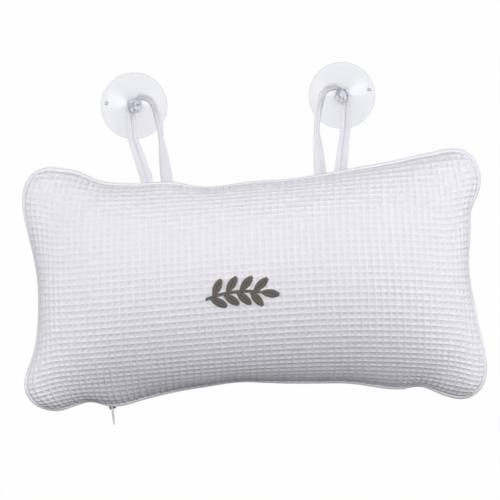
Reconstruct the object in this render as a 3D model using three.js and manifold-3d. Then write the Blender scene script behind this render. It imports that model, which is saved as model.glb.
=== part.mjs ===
// A bath pillow, lying on its back on a table: a waffle-weave cover with piped edges and a zip, an inner
// pad with its fill, and two tape loops with suction cups. Millimetres, +Z up from the table, +X along the
// pillow, +Y towards the cups. The origin is the middle of the flat patch that the pillow rests on.

import * as THREE from 'three';
import { mergeVertices } from 'three/addons/utils/BufferGeometryUtils.js';
import Module from 'manifold-3d';

const wasm = await Module();
wasm.setup();

// Pillow cover, measured over the piping
const PILLOW_LENGTH = 332;
const PILLOW_WIDTH = 179;
const CORNER_RADIUS = 20;
const LONG_SIDE_DRAW = 17.5; // how far a long side is drawn in at its middle
const SHORT_SIDE_DRAW = 10.6; // how far an end is drawn in at its middle
const SEAM_HEIGHT = 38; // seam above the table
const FRONT_CROWN = 50; // front panel above the seam
const BACK_CROWN = 46; // swell of the back below the seam, before the table flattens it
const PANEL_THICKNESS = 1.6;
const CLEARANCE = 0.3; // between pieces that touch or run on each other

// Piping: a cloth strip folded round a cord
const PIPING_DIAMETER = 3.2;
const PIPING_CLOTH = 0.5;

// Inner pad
const PAD_ROOM = 0.9; // from the cover to the pad's lining
const LINING_THICKNESS = 1.2;

// Embroidered leaf sprig on the front
const SPRIG_X = -7.2;
const SPRIG_Y = -5.9;
const SPRIG_LENGTH = 54;
const SPRIG_BEND_RADIUS = 75;
const STEM_WIDTH = 1.6;
const LEAF_LENGTH = 14.5;
const LEAF_WIDTH = 5.4;
const LEAF_PAIRS = 4;
const LEAF_ANGLE = 46; // degrees from the stem
const LEAF_STAGGER = 0.25; // share of a pair's space between its two leaves
const THREAD_THICKNESS = 0.8;
const BACKING_MARGIN = 4; // stabiliser past the sprig's ends
const BACKING_HEIGHT = 34;

// Tape loops
const TAPE_WIDTH = 9;
const TAPE_THICKNESS = 0.8;
const TAPE_END_SPACING = 14.7;
const TAPE_NECK_PLAY = 1.3; // above and below the folded tape on the cup's neck
const FOLD_CLEARANCE = 0.4; // from the piping to the tape where it folds
const TAPE_SAG = 0.9; // of each strand between the seam and the cup
const SAG_SHARES = [0.35, 0.7]; // where a strand sags, as shares of its way
const NECK_TURNS = [-18, 10, 42, 78]; // degrees, where the tape lies against the neck
const EDGEWISE_REACH = 19; // the tape stands on edge as far as this from the neck
const TAPE_STEPS = 48;

// The strands' middle lines near a cup, from the neck's middle: outwards, away from the pillow and up
const OUTER_STRAND = [[-0.6, -23, 5.9], [0.9, -15.5, 2.4], [1.9, -9, 0.4]];
const INNER_STRAND = [
  [-2, 6.3, -0.1], [-6.3, 6.8, -0.3], [-11, 5.5, -0.4], [-14, 2.2, -0.2],
  [-16.5, -3.2, 0.4], [-18.8, -9.5, 1.7], [-20.5, -16, 3.5], [-21.7, -23, 5.8],
];

// How each loop and its cup lie: seam place, cup centre, direction of the moulded pip
const LEFT_SEAM_X = -66.7;
const LEFT_CUP_X = -80.6;
const LEFT_CUP_Y = 130.6;
const LEFT_PIP_ANGLE = 172.7; // degrees
const RIGHT_SEAM_X = 59.5;
const RIGHT_CUP_X = 69.5;
const RIGHT_CUP_Y = 132.4;
const RIGHT_PIP_ANGLE = 9.9; // degrees

// Suction cups
const CUP_DIAMETER = 48;
const CUP_SEAL_WIDTH = 2.5;
const CUP_RIM_THICKNESS = 1;
const CUP_HOLLOW_DEPTH = 4.5;
const HOLLOW_BEND = 0.56; // where the hollow turns down, as a share of its radius
const DOME_BEND_OUT = 0.62; // where the dome's curve bends, as a share of the cup's radius
const DOME_BEND_UP = 0.54; // and of the neck base's height
const NECK_BASE_HEIGHT = 12;
const NECK_BASE_FLARE = 1.2; // dome's radius past the neck's
const NECK_DIAMETER = 7.2;
const NECK_LENGTH = 8;
const HEAD_DIAMETER = 9.6;
const HEAD_HEIGHT = 3.8;
const HEAD_EDGE = 0.45; // share of the head's height that is upright
const HEAD_SHOULDER_OUT = 0.72; // where the head rounds over, as a share of its radius
const HEAD_SHOULDER_UP = 0.86; // and of its height
const PIP_FROM_AXIS = 20.2;
const PIP_DIAMETER = 2.5;
const PIP_HEIGHT = 0.8;
const CUP_SIDES = 28;
const PIP_SIDES = 10;

// Zip in the bottom edge, under the piping; lengths run along the seam from its middle
const ZIP_START = -111;
const ZIP_END = 105;
const ZIP_TAPE_THICKNESS = 0.6;
const ZIP_TAPE_MARGIN = 4; // tape past the teeth at each end
const ZIP_UPPER_TAPE_WIDTH = 2.2;
const ZIP_LOWER_TAPE_WIDTH = 1.2;
const TOOTH_PITCH = 4;
const TOOTH_ROOT = 0.7; // solid edge that carries the teeth
const TOOTH_HEIGHT = 1.2;
const TOOTH_DEPTH = 1.6;
const STOP_LENGTH = 2.2;
const STOP_PROUD = 0.6; // a stop past the teeth, front and back
const ARC_STEP = 10; // length of a straight run on the bent zip pieces

// Zip slider and pull
const SLIDER_PLACE = -106;
const SLIDER_LENGTH = 9;
const SLIDER_WIDTH = 6;
const SLIDER_PLATE = 1;
const SLIDER_WEB = 0.5;
const SLIDER_WEB_LENGTH = 3;
const BRIDGE_LENGTH = 4.6;
const BRIDGE_WIDTH = 1.8;
const BRIDGE_LEG = 1;
const BRIDGE_TOP = 1.6;
const BRIDGE_RISE = 1.6; // from the plate to the room that the pull's bar turns in
const PULL_LENGTH = 14; // from its bar's axis to its tip
const PULL_ROOT = 1.2; // its thickness at the bar, where it is thickest, and at the tip
const PULL_BELLY = 1.9;
const PULL_TIP = 0.8;
const PULL_BELLY_AT = 7.5;
const PULL_HANG = 6; // degrees that it hangs towards the near end of the zip
const PULL_BAR = 1.2;
const PULL_ARM = 0.9;
const PULL_TIP_RADIUS = 1.2;

// Steps of the curved pieces, and the grid of the soft ones
const CURVE_STEPS = 6;
const PIPING_STEPS = 5;
const LENGTH_CELLS = 22;
const WIDTH_CELLS = 12;

const quarterTurn = Math.PI / 2;
const up = new THREE.Vector3(0, 0, 1);
const { degToRad, lerp, smoothstep } = THREE.MathUtils;

// A closed body, turned so that its faces point out
function body(points, triangles) {
  let volume = 0;
  for (let i = 0; i < triangles.length; i += 3) {
    const [a, b, c] = [points[triangles[i]], points[triangles[i + 1]], points[triangles[i + 2]]];
    volume += a.dot(b.clone().cross(c));
  }
  const geometry = new THREE.BufferGeometry().setFromPoints(points);
  geometry.setIndex(volume < 0 ? triangles.reverse() : triangles);
  geometry.computeVertexNormals();
  return geometry;
}

// Rings of points joined into one body. A closed loft runs round to its first ring; an open one has both
// ends filled by its section, whose corners are counter-clockwise.
function loft(rings, section, closed = false) {
  const count = section.length;
  const triangles = [];
  const spans = closed ? rings.length : rings.length - 1;
  for (let i = 0; i < spans; i += 1) {
    const here = i * count;
    const next = ((i + 1) % rings.length) * count;
    for (let j = 0; j < count; j += 1) {
      const k = (j + 1) % count;
      triangles.push(here + j, next + j, next + k);
      triangles.push(here + j, next + k, here + k);
    }
  }
  if (!closed) {
    const last = (rings.length - 1) * count;
    for (const [a, b, c] of THREE.ShapeUtils.triangulateShape(section, [])) {
      triangles.push(a, b, c);
      triangles.push(last + c, last + b, last + a);
    }
  }
  return body(rings.flat(), triangles);
}

function rectangle(x0, x1, y0, y1) {
  return [[x0, y0], [x1, y0], [x1, y1], [x0, y1]].map(([x, y]) => new THREE.Vector2(x, y));
}

function block(x0, x1, y0, y1, z0, z1) {
  const geometry = new THREE.BoxGeometry(x1 - x0, y1 - y0, z1 - z0);
  return geometry.translate((x0 + x1) / 2, (y0 + y1) / 2, (z0 + z1) / 2);
}

// Boolean cuts and joins
function solid(geometry) {
  const bare = geometry.clone();
  bare.deleteAttribute('normal');
  bare.deleteAttribute('uv');
  const merged = mergeVertices(bare, 1e-4);
  const vertProperties = new Float32Array(merged.attributes.position.array);
  const triVerts = new Uint32Array(merged.index.array);
  return new wasm.Manifold(new wasm.Mesh({ numProp: 3, vertProperties, triVerts }));
}

function skin(manifold) {
  const { vertProperties, triVerts } = manifold.getMesh();
  const geometry = new THREE.BufferGeometry();
  geometry.setAttribute('position', new THREE.BufferAttribute(vertProperties, 3));
  geometry.setIndex(new THREE.BufferAttribute(triVerts, 1));
  geometry.computeVertexNormals();
  return geometry;
}

function joined(geometries) {
  return skin(geometries.map(solid).reduce((whole, piece) => whole.add(piece)));
}

// The pillow's outline: four corner lobes joined by long hollow arcs, each tangent to its two lobes.
// The rim is the edge of the panels, inside the piping.
const rimInset = PIPING_DIAMETER + CLEARANCE;
const lobeX = PILLOW_LENGTH / 2 - CORNER_RADIUS;
const lobeY = PILLOW_WIDTH / 2 - CORNER_RADIUS;
const lobeRadius = CORNER_RADIUS - rimInset;

// A hollow side seen along its own axis: how far its lobes lie from its middle, how far out they are, and
// how far out the side's own middle is
function hollowSide(lobeAlong, lobeOut, middleOut) {
  const step = middleOut - lobeOut;
  const outerRadius = (lobeAlong ** 2 + step ** 2 - CORNER_RADIUS ** 2) / (2 * (CORNER_RADIUS - step));
  const centreOut = middleOut + outerRadius;
  const angle = Math.atan2(lobeAlong, centreOut - lobeOut);
  return { lobeAlong, lobeOut, centreOut, angle, radius: outerRadius + rimInset };
}

const longSide = hollowSide(lobeX, lobeY, PILLOW_WIDTH / 2 - LONG_SIDE_DRAW);
const shortSide = hollowSide(lobeY, lobeX, PILLOW_LENGTH / 2 - SHORT_SIDE_DRAW);
const lobeHalfTurn = (quarterTurn + longSide.angle + shortSide.angle) / 2;

// The point of a side's rim at a share of its length from its middle (-1 to 1), and the way out of the
// pillow there, both as distances along the side and out from the pillow
function rimOfSide(side, share) {
  const sign = Math.sign(share) || 1;
  const hollowLength = side.radius * side.angle;
  const length = Math.abs(share) * (hollowLength + lobeRadius * lobeHalfTurn);
  if (length <= hollowLength) {
    const angle = length / side.radius;
    const normalAlong = -sign * Math.sin(angle);
    const normalOut = Math.cos(angle);
    const out = side.centreOut - side.radius * normalOut;
    return { along: -side.radius * normalAlong, out, normalAlong, normalOut };
  }
  const turn = (length - hollowLength) / lobeRadius - side.angle;
  const normalAlong = sign * Math.sin(turn);
  const normalOut = Math.cos(turn);
  const along = sign * side.lobeAlong + lobeRadius * normalAlong;
  return { along, out: side.lobeOut + lobeRadius * normalOut, normalAlong, normalOut };
}

// Shares of a side where the grid's lines meet it, closer together towards the corners
function gridShares(cells) {
  return Array.from({ length: cells + 1 }, (_, i) => Math.sin(quarterTurn * (2 * i / cells - 1)));
}

const lengthShares = gridShares(LENGTH_CELLS);
const widthShares = gridShares(WIDTH_CELLS);
const corner = rimOfSide(longSide, 1);

function isRim(i, j) {
  return i === 0 || j === 0 || i === LENGTH_CELLS || j === WIDTH_CELLS;
}

function makeGrid(pointAt) {
  return lengthShares.map((_, i) => widthShares.map((__, j) => pointAt(i, j)));
}

// The way out of the pillow at a rim point of the grid
function rimNormal(i, j) {
  if (j === 0 || j === WIDTH_CELLS) {
    const edge = rimOfSide(longSide, lengthShares[i]);
    return new THREE.Vector3(edge.normalAlong, j === 0 ? -edge.normalOut : edge.normalOut, 0);
  }
  const edge = rimOfSide(shortSide, widthShares[j]);
  return new THREE.Vector3(i === 0 ? -edge.normalOut : edge.normalOut, edge.normalAlong, 0);
}

// Plan of the panels: the four rim sides blended across the pillow
const panelPlan = makeGrid((i, j) => {
  const [u, v] = [lengthShares[i], widthShares[j]];
  const long = rimOfSide(longSide, u);
  const short = rimOfSide(shortSide, v);
  const x = long.along + u * (short.out - corner.along);
  const y = v * (long.out - corner.out) + short.along;
  return new THREE.Vector2(x, y);
});

// Share of the full crown at a grid point: round across the width, fuller along the length, plump corners
function swell(i, j) {
  const acrossWidth = Math.sqrt(Math.max(0, 1 - widthShares[j] ** 2));
  const alongLength = Math.sqrt(Math.max(0, 1 - lengthShares[i] ** 4));
  const product = acrossWidth * alongLength;
  return product === 0 ? 0 : product / (acrossWidth + alongLength - product);
}

// Half of the sewn seam: the slit between the piping's two leaves, a leaf, and its clearance to the panel
const leafTop = CLEARANCE / 2 + PIPING_CLOTH;
const rimLift = leafTop + CLEARANCE;

const frontFace = makeGrid((i, j) => {
  const { x, y } = panelPlan[i][j];
  return new THREE.Vector3(x, y, SEAM_HEIGHT + rimLift + (FRONT_CROWN - rimLift) * swell(i, j));
});

const backFace = makeGrid((i, j) => {
  const { x, y } = panelPlan[i][j];
  const z = SEAM_HEIGHT - rimLift - (BACK_CROWN - rimLift) * swell(i, j);
  return new THREE.Vector3(x, y, Math.max(0, z));
});

// Normals of a panel's outer face, level at the rim
function faceNormals(face, pointsUp) {
  const sums = makeGrid(() => new THREE.Vector3());
  const triangle = new THREE.Triangle();
  const addTriangle = (corners) => {
    const [a, b, c] = corners.map(([i, j]) => face[i][j]);
    const normal = triangle.set(a, b, c).getNormal(new THREE.Vector3()).multiplyScalar(triangle.getArea());
    corners.forEach(([i, j]) => sums[i][j].add(normal));
  };
  for (let i = 0; i < LENGTH_CELLS; i += 1) {
    for (let j = 0; j < WIDTH_CELLS; j += 1) {
      addTriangle([[i, j], [i + 1, j], [i + 1, j + 1]]);
      addTriangle([[i, j], [i + 1, j + 1], [i, j + 1]]);
    }
  }
  return makeGrid((i, j) => {
    if (isRim(i, j)) return rimNormal(i, j);
    return sums[i][j].normalize().multiplyScalar(pointsUp ? 1 : -1);
  });
}

const frontNormals = faceNormals(frontFace, true);
const backNormals = faceNormals(backFace, false);

// A face moved inwards by a depth, with its rim brought to a height where one is given
function inset(face, normals, depth, rimHeight = null) {
  return makeGrid((i, j) => {
    const point = face[i][j].clone().addScaledVector(normals[i][j], -depth);
    if (rimHeight !== null && isRim(i, j)) point.z = rimHeight;
    return point;
  });
}

// Grid places round the rim, counter-clockwise seen from above
const rimPlaces = [
  ...lengthShares.map((_, i) => [i, 0]),
  ...widthShares.map((_, j) => [LENGTH_CELLS, j]).slice(1),
  ...lengthShares.map((_, i) => [LENGTH_CELLS - i, WIDTH_CELLS]).slice(1),
  ...widthShares.map((_, j) => [0, WIDTH_CELLS - j]).slice(1, -1),
];

// The body between an upper and a lower face, closed round the rim
function between(upper, lower) {
  const rows = WIDTH_CELLS + 1;
  const lowerStart = (LENGTH_CELLS + 1) * rows;
  const place = ([i, j]) => i * rows + j;
  const triangles = [];
  for (let i = 0; i < LENGTH_CELLS; i += 1) {
    for (let j = 0; j < WIDTH_CELLS; j += 1) {
      const [a, b, c, d] = [[i, j], [i + 1, j], [i + 1, j + 1], [i, j + 1]].map(place);
      triangles.push(a, b, c, a, c, d);
      triangles.push(lowerStart + a, lowerStart + c, lowerStart + b);
      triangles.push(lowerStart + a, lowerStart + d, lowerStart + c);
    }
  }
  rimPlaces.forEach((rimPlace, k) => {
    const a = place(rimPlace);
    const b = place(rimPlaces[(k + 1) % rimPlaces.length]);
    triangles.push(lowerStart + a, lowerStart + b, b);
    triangles.push(lowerStart + a, b, a);
  });
  return body([...upper.flat(), ...lower.flat()], triangles);
}

// Depths of the nested soft pieces below the cover's outer face
const liningDepth = PANEL_THICKNESS + PAD_ROOM;
const fillDepth = liningDepth + LINING_THICKNESS + CLEARANCE;

function frontPanel() {
  return between(frontFace, inset(frontFace, frontNormals, PANEL_THICKNESS));
}

function liningHalf(face, normals, rimHeight) {
  const outer = inset(face, normals, liningDepth, rimHeight);
  return [outer, inset(face, normals, liningDepth + LINING_THICKNESS, rimHeight)];
}

function padFront() {
  return between(...liningHalf(frontFace, frontNormals, SEAM_HEIGHT + CLEARANCE / 2));
}

function padBack() {
  const [outer, inner] = liningHalf(backFace, backNormals, SEAM_HEIGHT - CLEARANCE / 2);
  return between(inner, outer);
}

function fibreFill() {
  const upper = inset(frontFace, frontNormals, fillDepth, SEAM_HEIGHT + CLEARANCE);
  return between(upper, inset(backFace, backNormals, fillDepth, SEAM_HEIGHT - CLEARANCE));
}

// Piping. Its section runs out from the rim and up from the seam.
const pipingRadius = PIPING_DIAMETER / 2;
const pipingOut = CLEARANCE + pipingRadius; // the cord's axis, from the rim
const cordHole = pipingRadius - PIPING_CLOTH;

function arcPoints(radius, from, to, steps) {
  return Array.from({ length: steps + 1 }, (_, i) => {
    const angle = from + (to - from) * i / steps;
    return new THREE.Vector2(pipingOut + radius * Math.cos(angle), radius * Math.sin(angle));
  });
}

function alongRim(section) {
  const rings = rimPlaces.map(([i, j]) => {
    const { x, y } = panelPlan[i][j];
    const seam = new THREE.Vector3(x, y, SEAM_HEIGHT);
    const out = rimNormal(i, j);
    return section.map((at) => seam.clone().addScaledVector(out, at.x).addScaledVector(up, at.y));
  });
  return loft(rings, section, true);
}

function pipingCover() {
  const leafStart = Math.PI - Math.asin(leafTop / pipingRadius);
  const slitStart = Math.PI - Math.asin(CLEARANCE / 2 / cordHole);
  return alongRim([
    new THREE.Vector2(-PANEL_THICKNESS, -leafTop),
    ...arcPoints(pipingRadius, -leafStart, leafStart, PIPING_STEPS),
    new THREE.Vector2(-PANEL_THICKNESS, leafTop),
    new THREE.Vector2(-PANEL_THICKNESS, CLEARANCE / 2),
    ...arcPoints(cordHole, slitStart, -slitStart, CURVE_STEPS),
    new THREE.Vector2(-PANEL_THICKNESS, -CLEARANCE / 2),
  ]);
}

function pipingCord() {
  const cordRadius = cordHole - CLEARANCE / Math.cos(Math.PI / CURVE_STEPS);
  return alongRim(arcPoints(cordRadius, -Math.PI, Math.PI, CURVE_STEPS).slice(1));
}

// A place on a long side's rim: x along the seam, then its distance out from the rim. The two long sides
// mirror each other.
const pipingSpan = rimInset; // from the rim to the outside of the piping
const underPiping = SEAM_HEIGHT - pipingRadius - CLEARANCE;

function seamTurn(x) {
  return Math.asin(x / longSide.radius);
}

function seamPoint(turn, out, topSide) {
  const radius = longSide.radius - out;
  const y = longSide.centreOut - radius * Math.cos(turn);
  return new THREE.Vector2(radius * Math.sin(turn), topSide ? y : -y);
}

const loops = [
  {
    side: 'left',
    outward: -1,
    seamX: LEFT_SEAM_X,
    cupX: LEFT_CUP_X,
    cupY: LEFT_CUP_Y,
    pipAngle: LEFT_PIP_ANGLE,
  },
  {
    side: 'right',
    outward: 1,
    seamX: RIGHT_SEAM_X,
    cupX: RIGHT_CUP_X,
    cupY: RIGHT_CUP_Y,
    pipAngle: RIGHT_PIP_ANGLE,
  },
];

// Tape loops. Each has a group at its fold, with X along the seam and Y out of the pillow.
const foldOut = pipingSpan + FOLD_CLEARANCE + TAPE_THICKNESS / 2;
const foldHeight = underPiping - TAPE_THICKNESS / 2;
const tailEnd = PANEL_THICKNESS + PAD_ROOM / 2; // a sewn tail inside the rim
const tapeNeckWidth = NECK_LENGTH - 2 * TAPE_NECK_PLAY;
const tapeNeckThickness = TAPE_THICKNESS * TAPE_WIDTH / tapeNeckWidth;
const neckMiddle = NECK_BASE_HEIGHT + NECK_LENGTH / 2;

function foldGroup(loop) {
  const group = new THREE.Group();
  const turn = seamTurn(loop.seamX);
  const place = seamPoint(turn, foldOut, true);
  group.position.set(place.x, place.y, foldHeight);
  group.rotation.z = turn;
  return group;
}

// A sewn tail; a grown one is the room that it takes in the back panel
function tail(across, grown = 0) {
  const half = TAPE_WIDTH / 2 + grown;
  const inner = -foldOut - tailEnd - grown * 2;
  const outer = pipingSpan - foldOut;
  const bottom = -TAPE_THICKNESS / 2 - grown;
  const top = grown > 0 ? SEAM_HEIGHT - foldHeight : TAPE_THICKNESS / 2;
  return block(across - half, across + half, inner, outer, bottom, top);
}

// The tape's route from its outer end to the neck, round it and back by a slack bow
function tapeRoute(loop, group) {
  group.updateMatrixWorld();
  const neck = group.worldToLocal(new THREE.Vector3(loop.cupX, loop.cupY, neckMiddle));
  const hug = NECK_DIAMETER / 2 + CLEARANCE + tapeNeckThickness / 2;
  const outerEnd = new THREE.Vector3(loop.outward * TAPE_END_SPACING / 2, 0, 0);
  const innerEnd = new THREE.Vector3(-outerEnd.x, 0, 0);
  const nearNeck = ([out, away, rise]) => (
    new THREE.Vector3(neck.x + loop.outward * out, neck.y + away, neck.z + rise)
  );
  const outer = OUTER_STRAND.map(nearNeck);
  const inner = INNER_STRAND.map(nearNeck);
  const roundNeck = NECK_TURNS.map(degToRad).map((turn) => (
    nearNeck([hug * Math.cos(turn), hug * Math.sin(turn), 0])
  ));
  const sagging = (from, to) => SAG_SHARES.map((share) => (
    from.clone().lerp(to, share).addScaledVector(up, -TAPE_SAG)
  ));
  return new THREE.CatmullRomCurve3([
    outerEnd,
    ...sagging(outerEnd, outer[0]),
    ...outer,
    ...roundNeck,
    ...inner,
    ...sagging(inner.at(-1), innerEnd),
    innerEnd,
  ]);
}

// The tape lies flat at the seam and stands on edge, folded narrower, round the neck
function strap(loop, group) {
  const route = tapeRoute(loop, group);
  const neck = group.worldToLocal(new THREE.Vector3(loop.cupX, loop.cupY, neckMiddle));
  const points = route.getSpacedPoints(TAPE_STEPS);
  const fromNeck = points.map((point) => Math.hypot(point.x - neck.x, point.y - neck.y));
  const nearest = fromNeck.indexOf(Math.min(...fromNeck));
  const flatFrom = Math.min(fromNeck[0], fromNeck[TAPE_STEPS]);
  const across = new THREE.Vector3(loop.outward, 0, 0);
  const rings = points.map((point, i) => {
    const edgewise = quarterTurn * (1 - smoothstep(fromNeck[i], EDGEWISE_REACH, flatFrom));
    const twist = i <= nearest ? edgewise : Math.PI - edgewise;
    const side = across.clone().multiplyScalar(Math.cos(twist)).addScaledVector(up, Math.sin(twist));
    const width = lerp(TAPE_WIDTH, tapeNeckWidth, Math.sin(twist));
    const thickness = TAPE_THICKNESS * TAPE_WIDTH / width;
    const before = points[Math.max(0, i - 1)];
    const after = points[Math.min(TAPE_STEPS, i + 1)];
    const face = after.clone().sub(before).cross(side).normalize();
    const section = rectangle(-width / 2, width / 2, -thickness / 2, thickness / 2);
    return section.map((at) => point.clone().addScaledVector(side, at.x).addScaledVector(face, at.y));
  });
  return loft(rings, rectangle(-1, 1, -1, 1));
}

// Suction cup, turned about its axis, with its seal on the table
const cupRadius = CUP_DIAMETER / 2;
const cupDome = new THREE.QuadraticBezierCurve(
  new THREE.Vector2(cupRadius, CUP_RIM_THICKNESS),
  new THREE.Vector2(cupRadius * DOME_BEND_OUT, NECK_BASE_HEIGHT * DOME_BEND_UP),
  new THREE.Vector2(NECK_DIAMETER / 2 + NECK_BASE_FLARE, NECK_BASE_HEIGHT),
);

function domeHeight(radius) {
  const samples = CURVE_STEPS ** 3;
  const nearest = cupDome.getPoints(samples).reduce((best, point) => (
    Math.abs(point.x - radius) < Math.abs(best.x - radius) ? point : best
  ));
  return nearest.y;
}

function suctionCup(pipAngle) {
  const sealInner = cupRadius - CUP_SEAL_WIDTH;
  const hollow = new THREE.QuadraticBezierCurve(
    new THREE.Vector2(0, CUP_HOLLOW_DEPTH),
    new THREE.Vector2(sealInner * HOLLOW_BEND, CUP_HOLLOW_DEPTH),
    new THREE.Vector2(sealInner, 0),
  );
  const neckTop = NECK_BASE_HEIGHT + NECK_LENGTH;
  const headRadius = HEAD_DIAMETER / 2;
  const profile = [
    ...hollow.getPoints(CURVE_STEPS),
    new THREE.Vector2(cupRadius, 0),
    ...cupDome.getPoints(CURVE_STEPS),
    new THREE.Vector2(NECK_DIAMETER / 2, NECK_BASE_HEIGHT),
    new THREE.Vector2(NECK_DIAMETER / 2, neckTop),
    new THREE.Vector2(headRadius, neckTop),
    new THREE.Vector2(headRadius, neckTop + HEAD_HEIGHT * HEAD_EDGE),
    new THREE.Vector2(headRadius * HEAD_SHOULDER_OUT, neckTop + HEAD_HEIGHT * HEAD_SHOULDER_UP),
    new THREE.Vector2(0, neckTop + HEAD_HEIGHT),
  ];
  const turned = new THREE.LatheGeometry(profile, CUP_SIDES).rotateX(quarterTurn);
  const pipTop = domeHeight(PIP_FROM_AXIS) + PIP_HEIGHT;
  const pipRadius = PIP_DIAMETER / 2;
  const pip = new THREE.CylinderGeometry(pipRadius, pipRadius, pipTop - CUP_RIM_THICKNESS, PIP_SIDES);
  pip.rotateX(quarterTurn);
  pip.translate(PIP_FROM_AXIS, 0, (pipTop + CUP_RIM_THICKNESS) / 2);
  pip.rotateZ(degToRad(pipAngle));
  return joined([turned, pip]);
}

// Zip, stacked down from the piping in an upright band that follows the bottom seam
const zipOut = pipingOut; // middle of the zip's thickness, from the rim
const upperTapeTop = underPiping;
const upperTeethTop = upperTapeTop - ZIP_UPPER_TAPE_WIDTH - CLEARANCE;
const rowHeight = TOOTH_ROOT + TOOTH_HEIGHT;
const zipMiddle = upperTeethTop - rowHeight - CLEARANCE - SLIDER_WEB / 2;
const lowerTeethBottom = zipMiddle * 2 - upperTeethTop;
const lowerTapeTop = lowerTeethBottom - CLEARANCE;
const lowerTapeBottom = lowerTapeTop - ZIP_LOWER_TAPE_WIDTH;
const zipCutHeight = lowerTapeBottom - CLEARANCE;
const stopDepth = TOOTH_DEPTH + 2 * STOP_PROUD;
const stopsStart = ZIP_START - CLEARANCE - STOP_LENGTH;
const stopsEnd = ZIP_END + CLEARANCE + STOP_LENGTH;

// How far inside the rim the back panel's outer face is at a height
function backInset(height) {
  const drop = (SEAM_HEIGHT - rimLift - height) / (BACK_CROWN - rimLift);
  return rimOfSide(longSide, 0).out * (1 - Math.sqrt(1 - drop ** 2));
}

const cutInset = backInset(zipCutHeight);

// Rings along the bottom seam: the section at each station is its distances out from the rim and heights
function alongZip(stations, sectionAt) {
  const rings = stations.map((length, i) => sectionAt(i).map((point) => {
    const place = seamPoint(length / (longSide.radius - zipOut), point.x, false);
    return new THREE.Vector3(place.x, place.y, point.y);
  }));
  return loft(rings, sectionAt(0));
}

function evenStations(from, to, step) {
  const count = Math.max(1, Math.round((to - from) / step));
  return Array.from({ length: count + 1 }, (_, i) => from + (to - from) * i / count);
}

function zipBand(from, to, section) {
  return alongZip(evenStations(from, to, ARC_STEP), () => section);
}

function zipTapeUpper() {
  const half = ZIP_TAPE_THICKNESS / 2;
  const bottom = upperTapeTop - ZIP_UPPER_TAPE_WIDTH;
  const section = rectangle(zipOut - half, zipOut + half, bottom, upperTapeTop);
  return zipBand(stopsStart - ZIP_TAPE_MARGIN, stopsEnd + ZIP_TAPE_MARGIN, section);
}

// The lower tape turns in at its bottom edge and lies on the back panel's cut edge
function zipTapeLower() {
  const half = ZIP_TAPE_THICKNESS / 2;
  const section = [
    [-cutInset - PANEL_THICKNESS / 2, lowerTapeBottom],
    [zipOut + half, lowerTapeBottom],
    [zipOut + half, lowerTapeTop],
    [zipOut - half, lowerTapeTop],
    [zipOut - half, lowerTapeBottom + ZIP_TAPE_THICKNESS],
    [-cutInset - PANEL_THICKNESS / 2, lowerTapeBottom + ZIP_TAPE_THICKNESS],
  ].map(([x, y]) => new THREE.Vector2(x, y));
  return zipBand(stopsStart - ZIP_TAPE_MARGIN, stopsEnd + ZIP_TAPE_MARGIN, section);
}

// A row of pointed teeth on a solid edge; towards is 1 for teeth that point up
function zipTeeth(edge, towards) {
  const stations = evenStations(ZIP_START, ZIP_END, TOOTH_PITCH / 2);
  return alongZip(stations, (i) => {
    const tip = edge + towards * (i % 2 === 0 ? TOOTH_ROOT : rowHeight);
    const half = TOOTH_DEPTH / 2;
    return rectangle(zipOut - half, zipOut + half, Math.min(edge, tip), Math.max(edge, tip));
  });
}

function zipStop(from, bottom, top) {
  const section = rectangle(zipOut - stopDepth / 2, zipOut + stopDepth / 2, bottom, top);
  return zipBand(from, from + STOP_LENGTH, section);
}

// Slider and pull, made at their place on the seam with X along it and -Y out of the pillow
const channelHalf = TOOTH_DEPTH / 2 + CLEARANCE;
const plateOuter = zipOut + channelHalf + SLIDER_PLATE;
const archHeight = Math.hypot(PULL_BAR, PULL_ROOT) + 2 * CLEARANCE;
const archTop = plateOuter + BRIDGE_RISE + archHeight;
const barOut = archTop - archHeight / 2;
const sliderOverlap = 0.1; // how far its joined blocks run into each other

function sliderGroup() {
  const group = new THREE.Group();
  const turn = SLIDER_PLACE / (longSide.radius - zipOut);
  const place = seamPoint(turn, 0, false);
  group.position.set(place.x, place.y, zipMiddle);
  group.rotation.z = -turn;
  return group;
}

function zipSlider() {
  const halfLength = SLIDER_LENGTH / 2;
  const halfWidth = SLIDER_WIDTH / 2;
  const halfBridge = BRIDGE_LENGTH / 2;
  const plate = (outFrom) => (
    block(-halfLength, halfLength, -outFrom - SLIDER_PLATE, -outFrom, -halfWidth, halfWidth)
  );
  const onBridge = (from, to, outFrom, outTo) => (
    block(from, to, -outTo, -outFrom, -BRIDGE_WIDTH / 2, BRIDGE_WIDTH / 2)
  );
  const legFoot = plateOuter - sliderOverlap;
  const webReach = channelHalf + sliderOverlap;
  const halfWeb = SLIDER_WEB_LENGTH / 2;
  return joined([
    plate(zipOut + channelHalf),
    plate(zipOut - channelHalf - SLIDER_PLATE),
    block(-halfWeb, halfWeb, -zipOut - webReach, -zipOut + webReach, -SLIDER_WEB / 2, SLIDER_WEB / 2),
    onBridge(-halfBridge, -halfBridge + BRIDGE_LEG, legFoot, archTop + BRIDGE_TOP),
    onBridge(halfBridge - BRIDGE_LEG, halfBridge, legFoot, archTop + BRIDGE_TOP),
    onBridge(-halfBridge, halfBridge, archTop, archTop + BRIDGE_TOP),
  ]);
}

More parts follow.
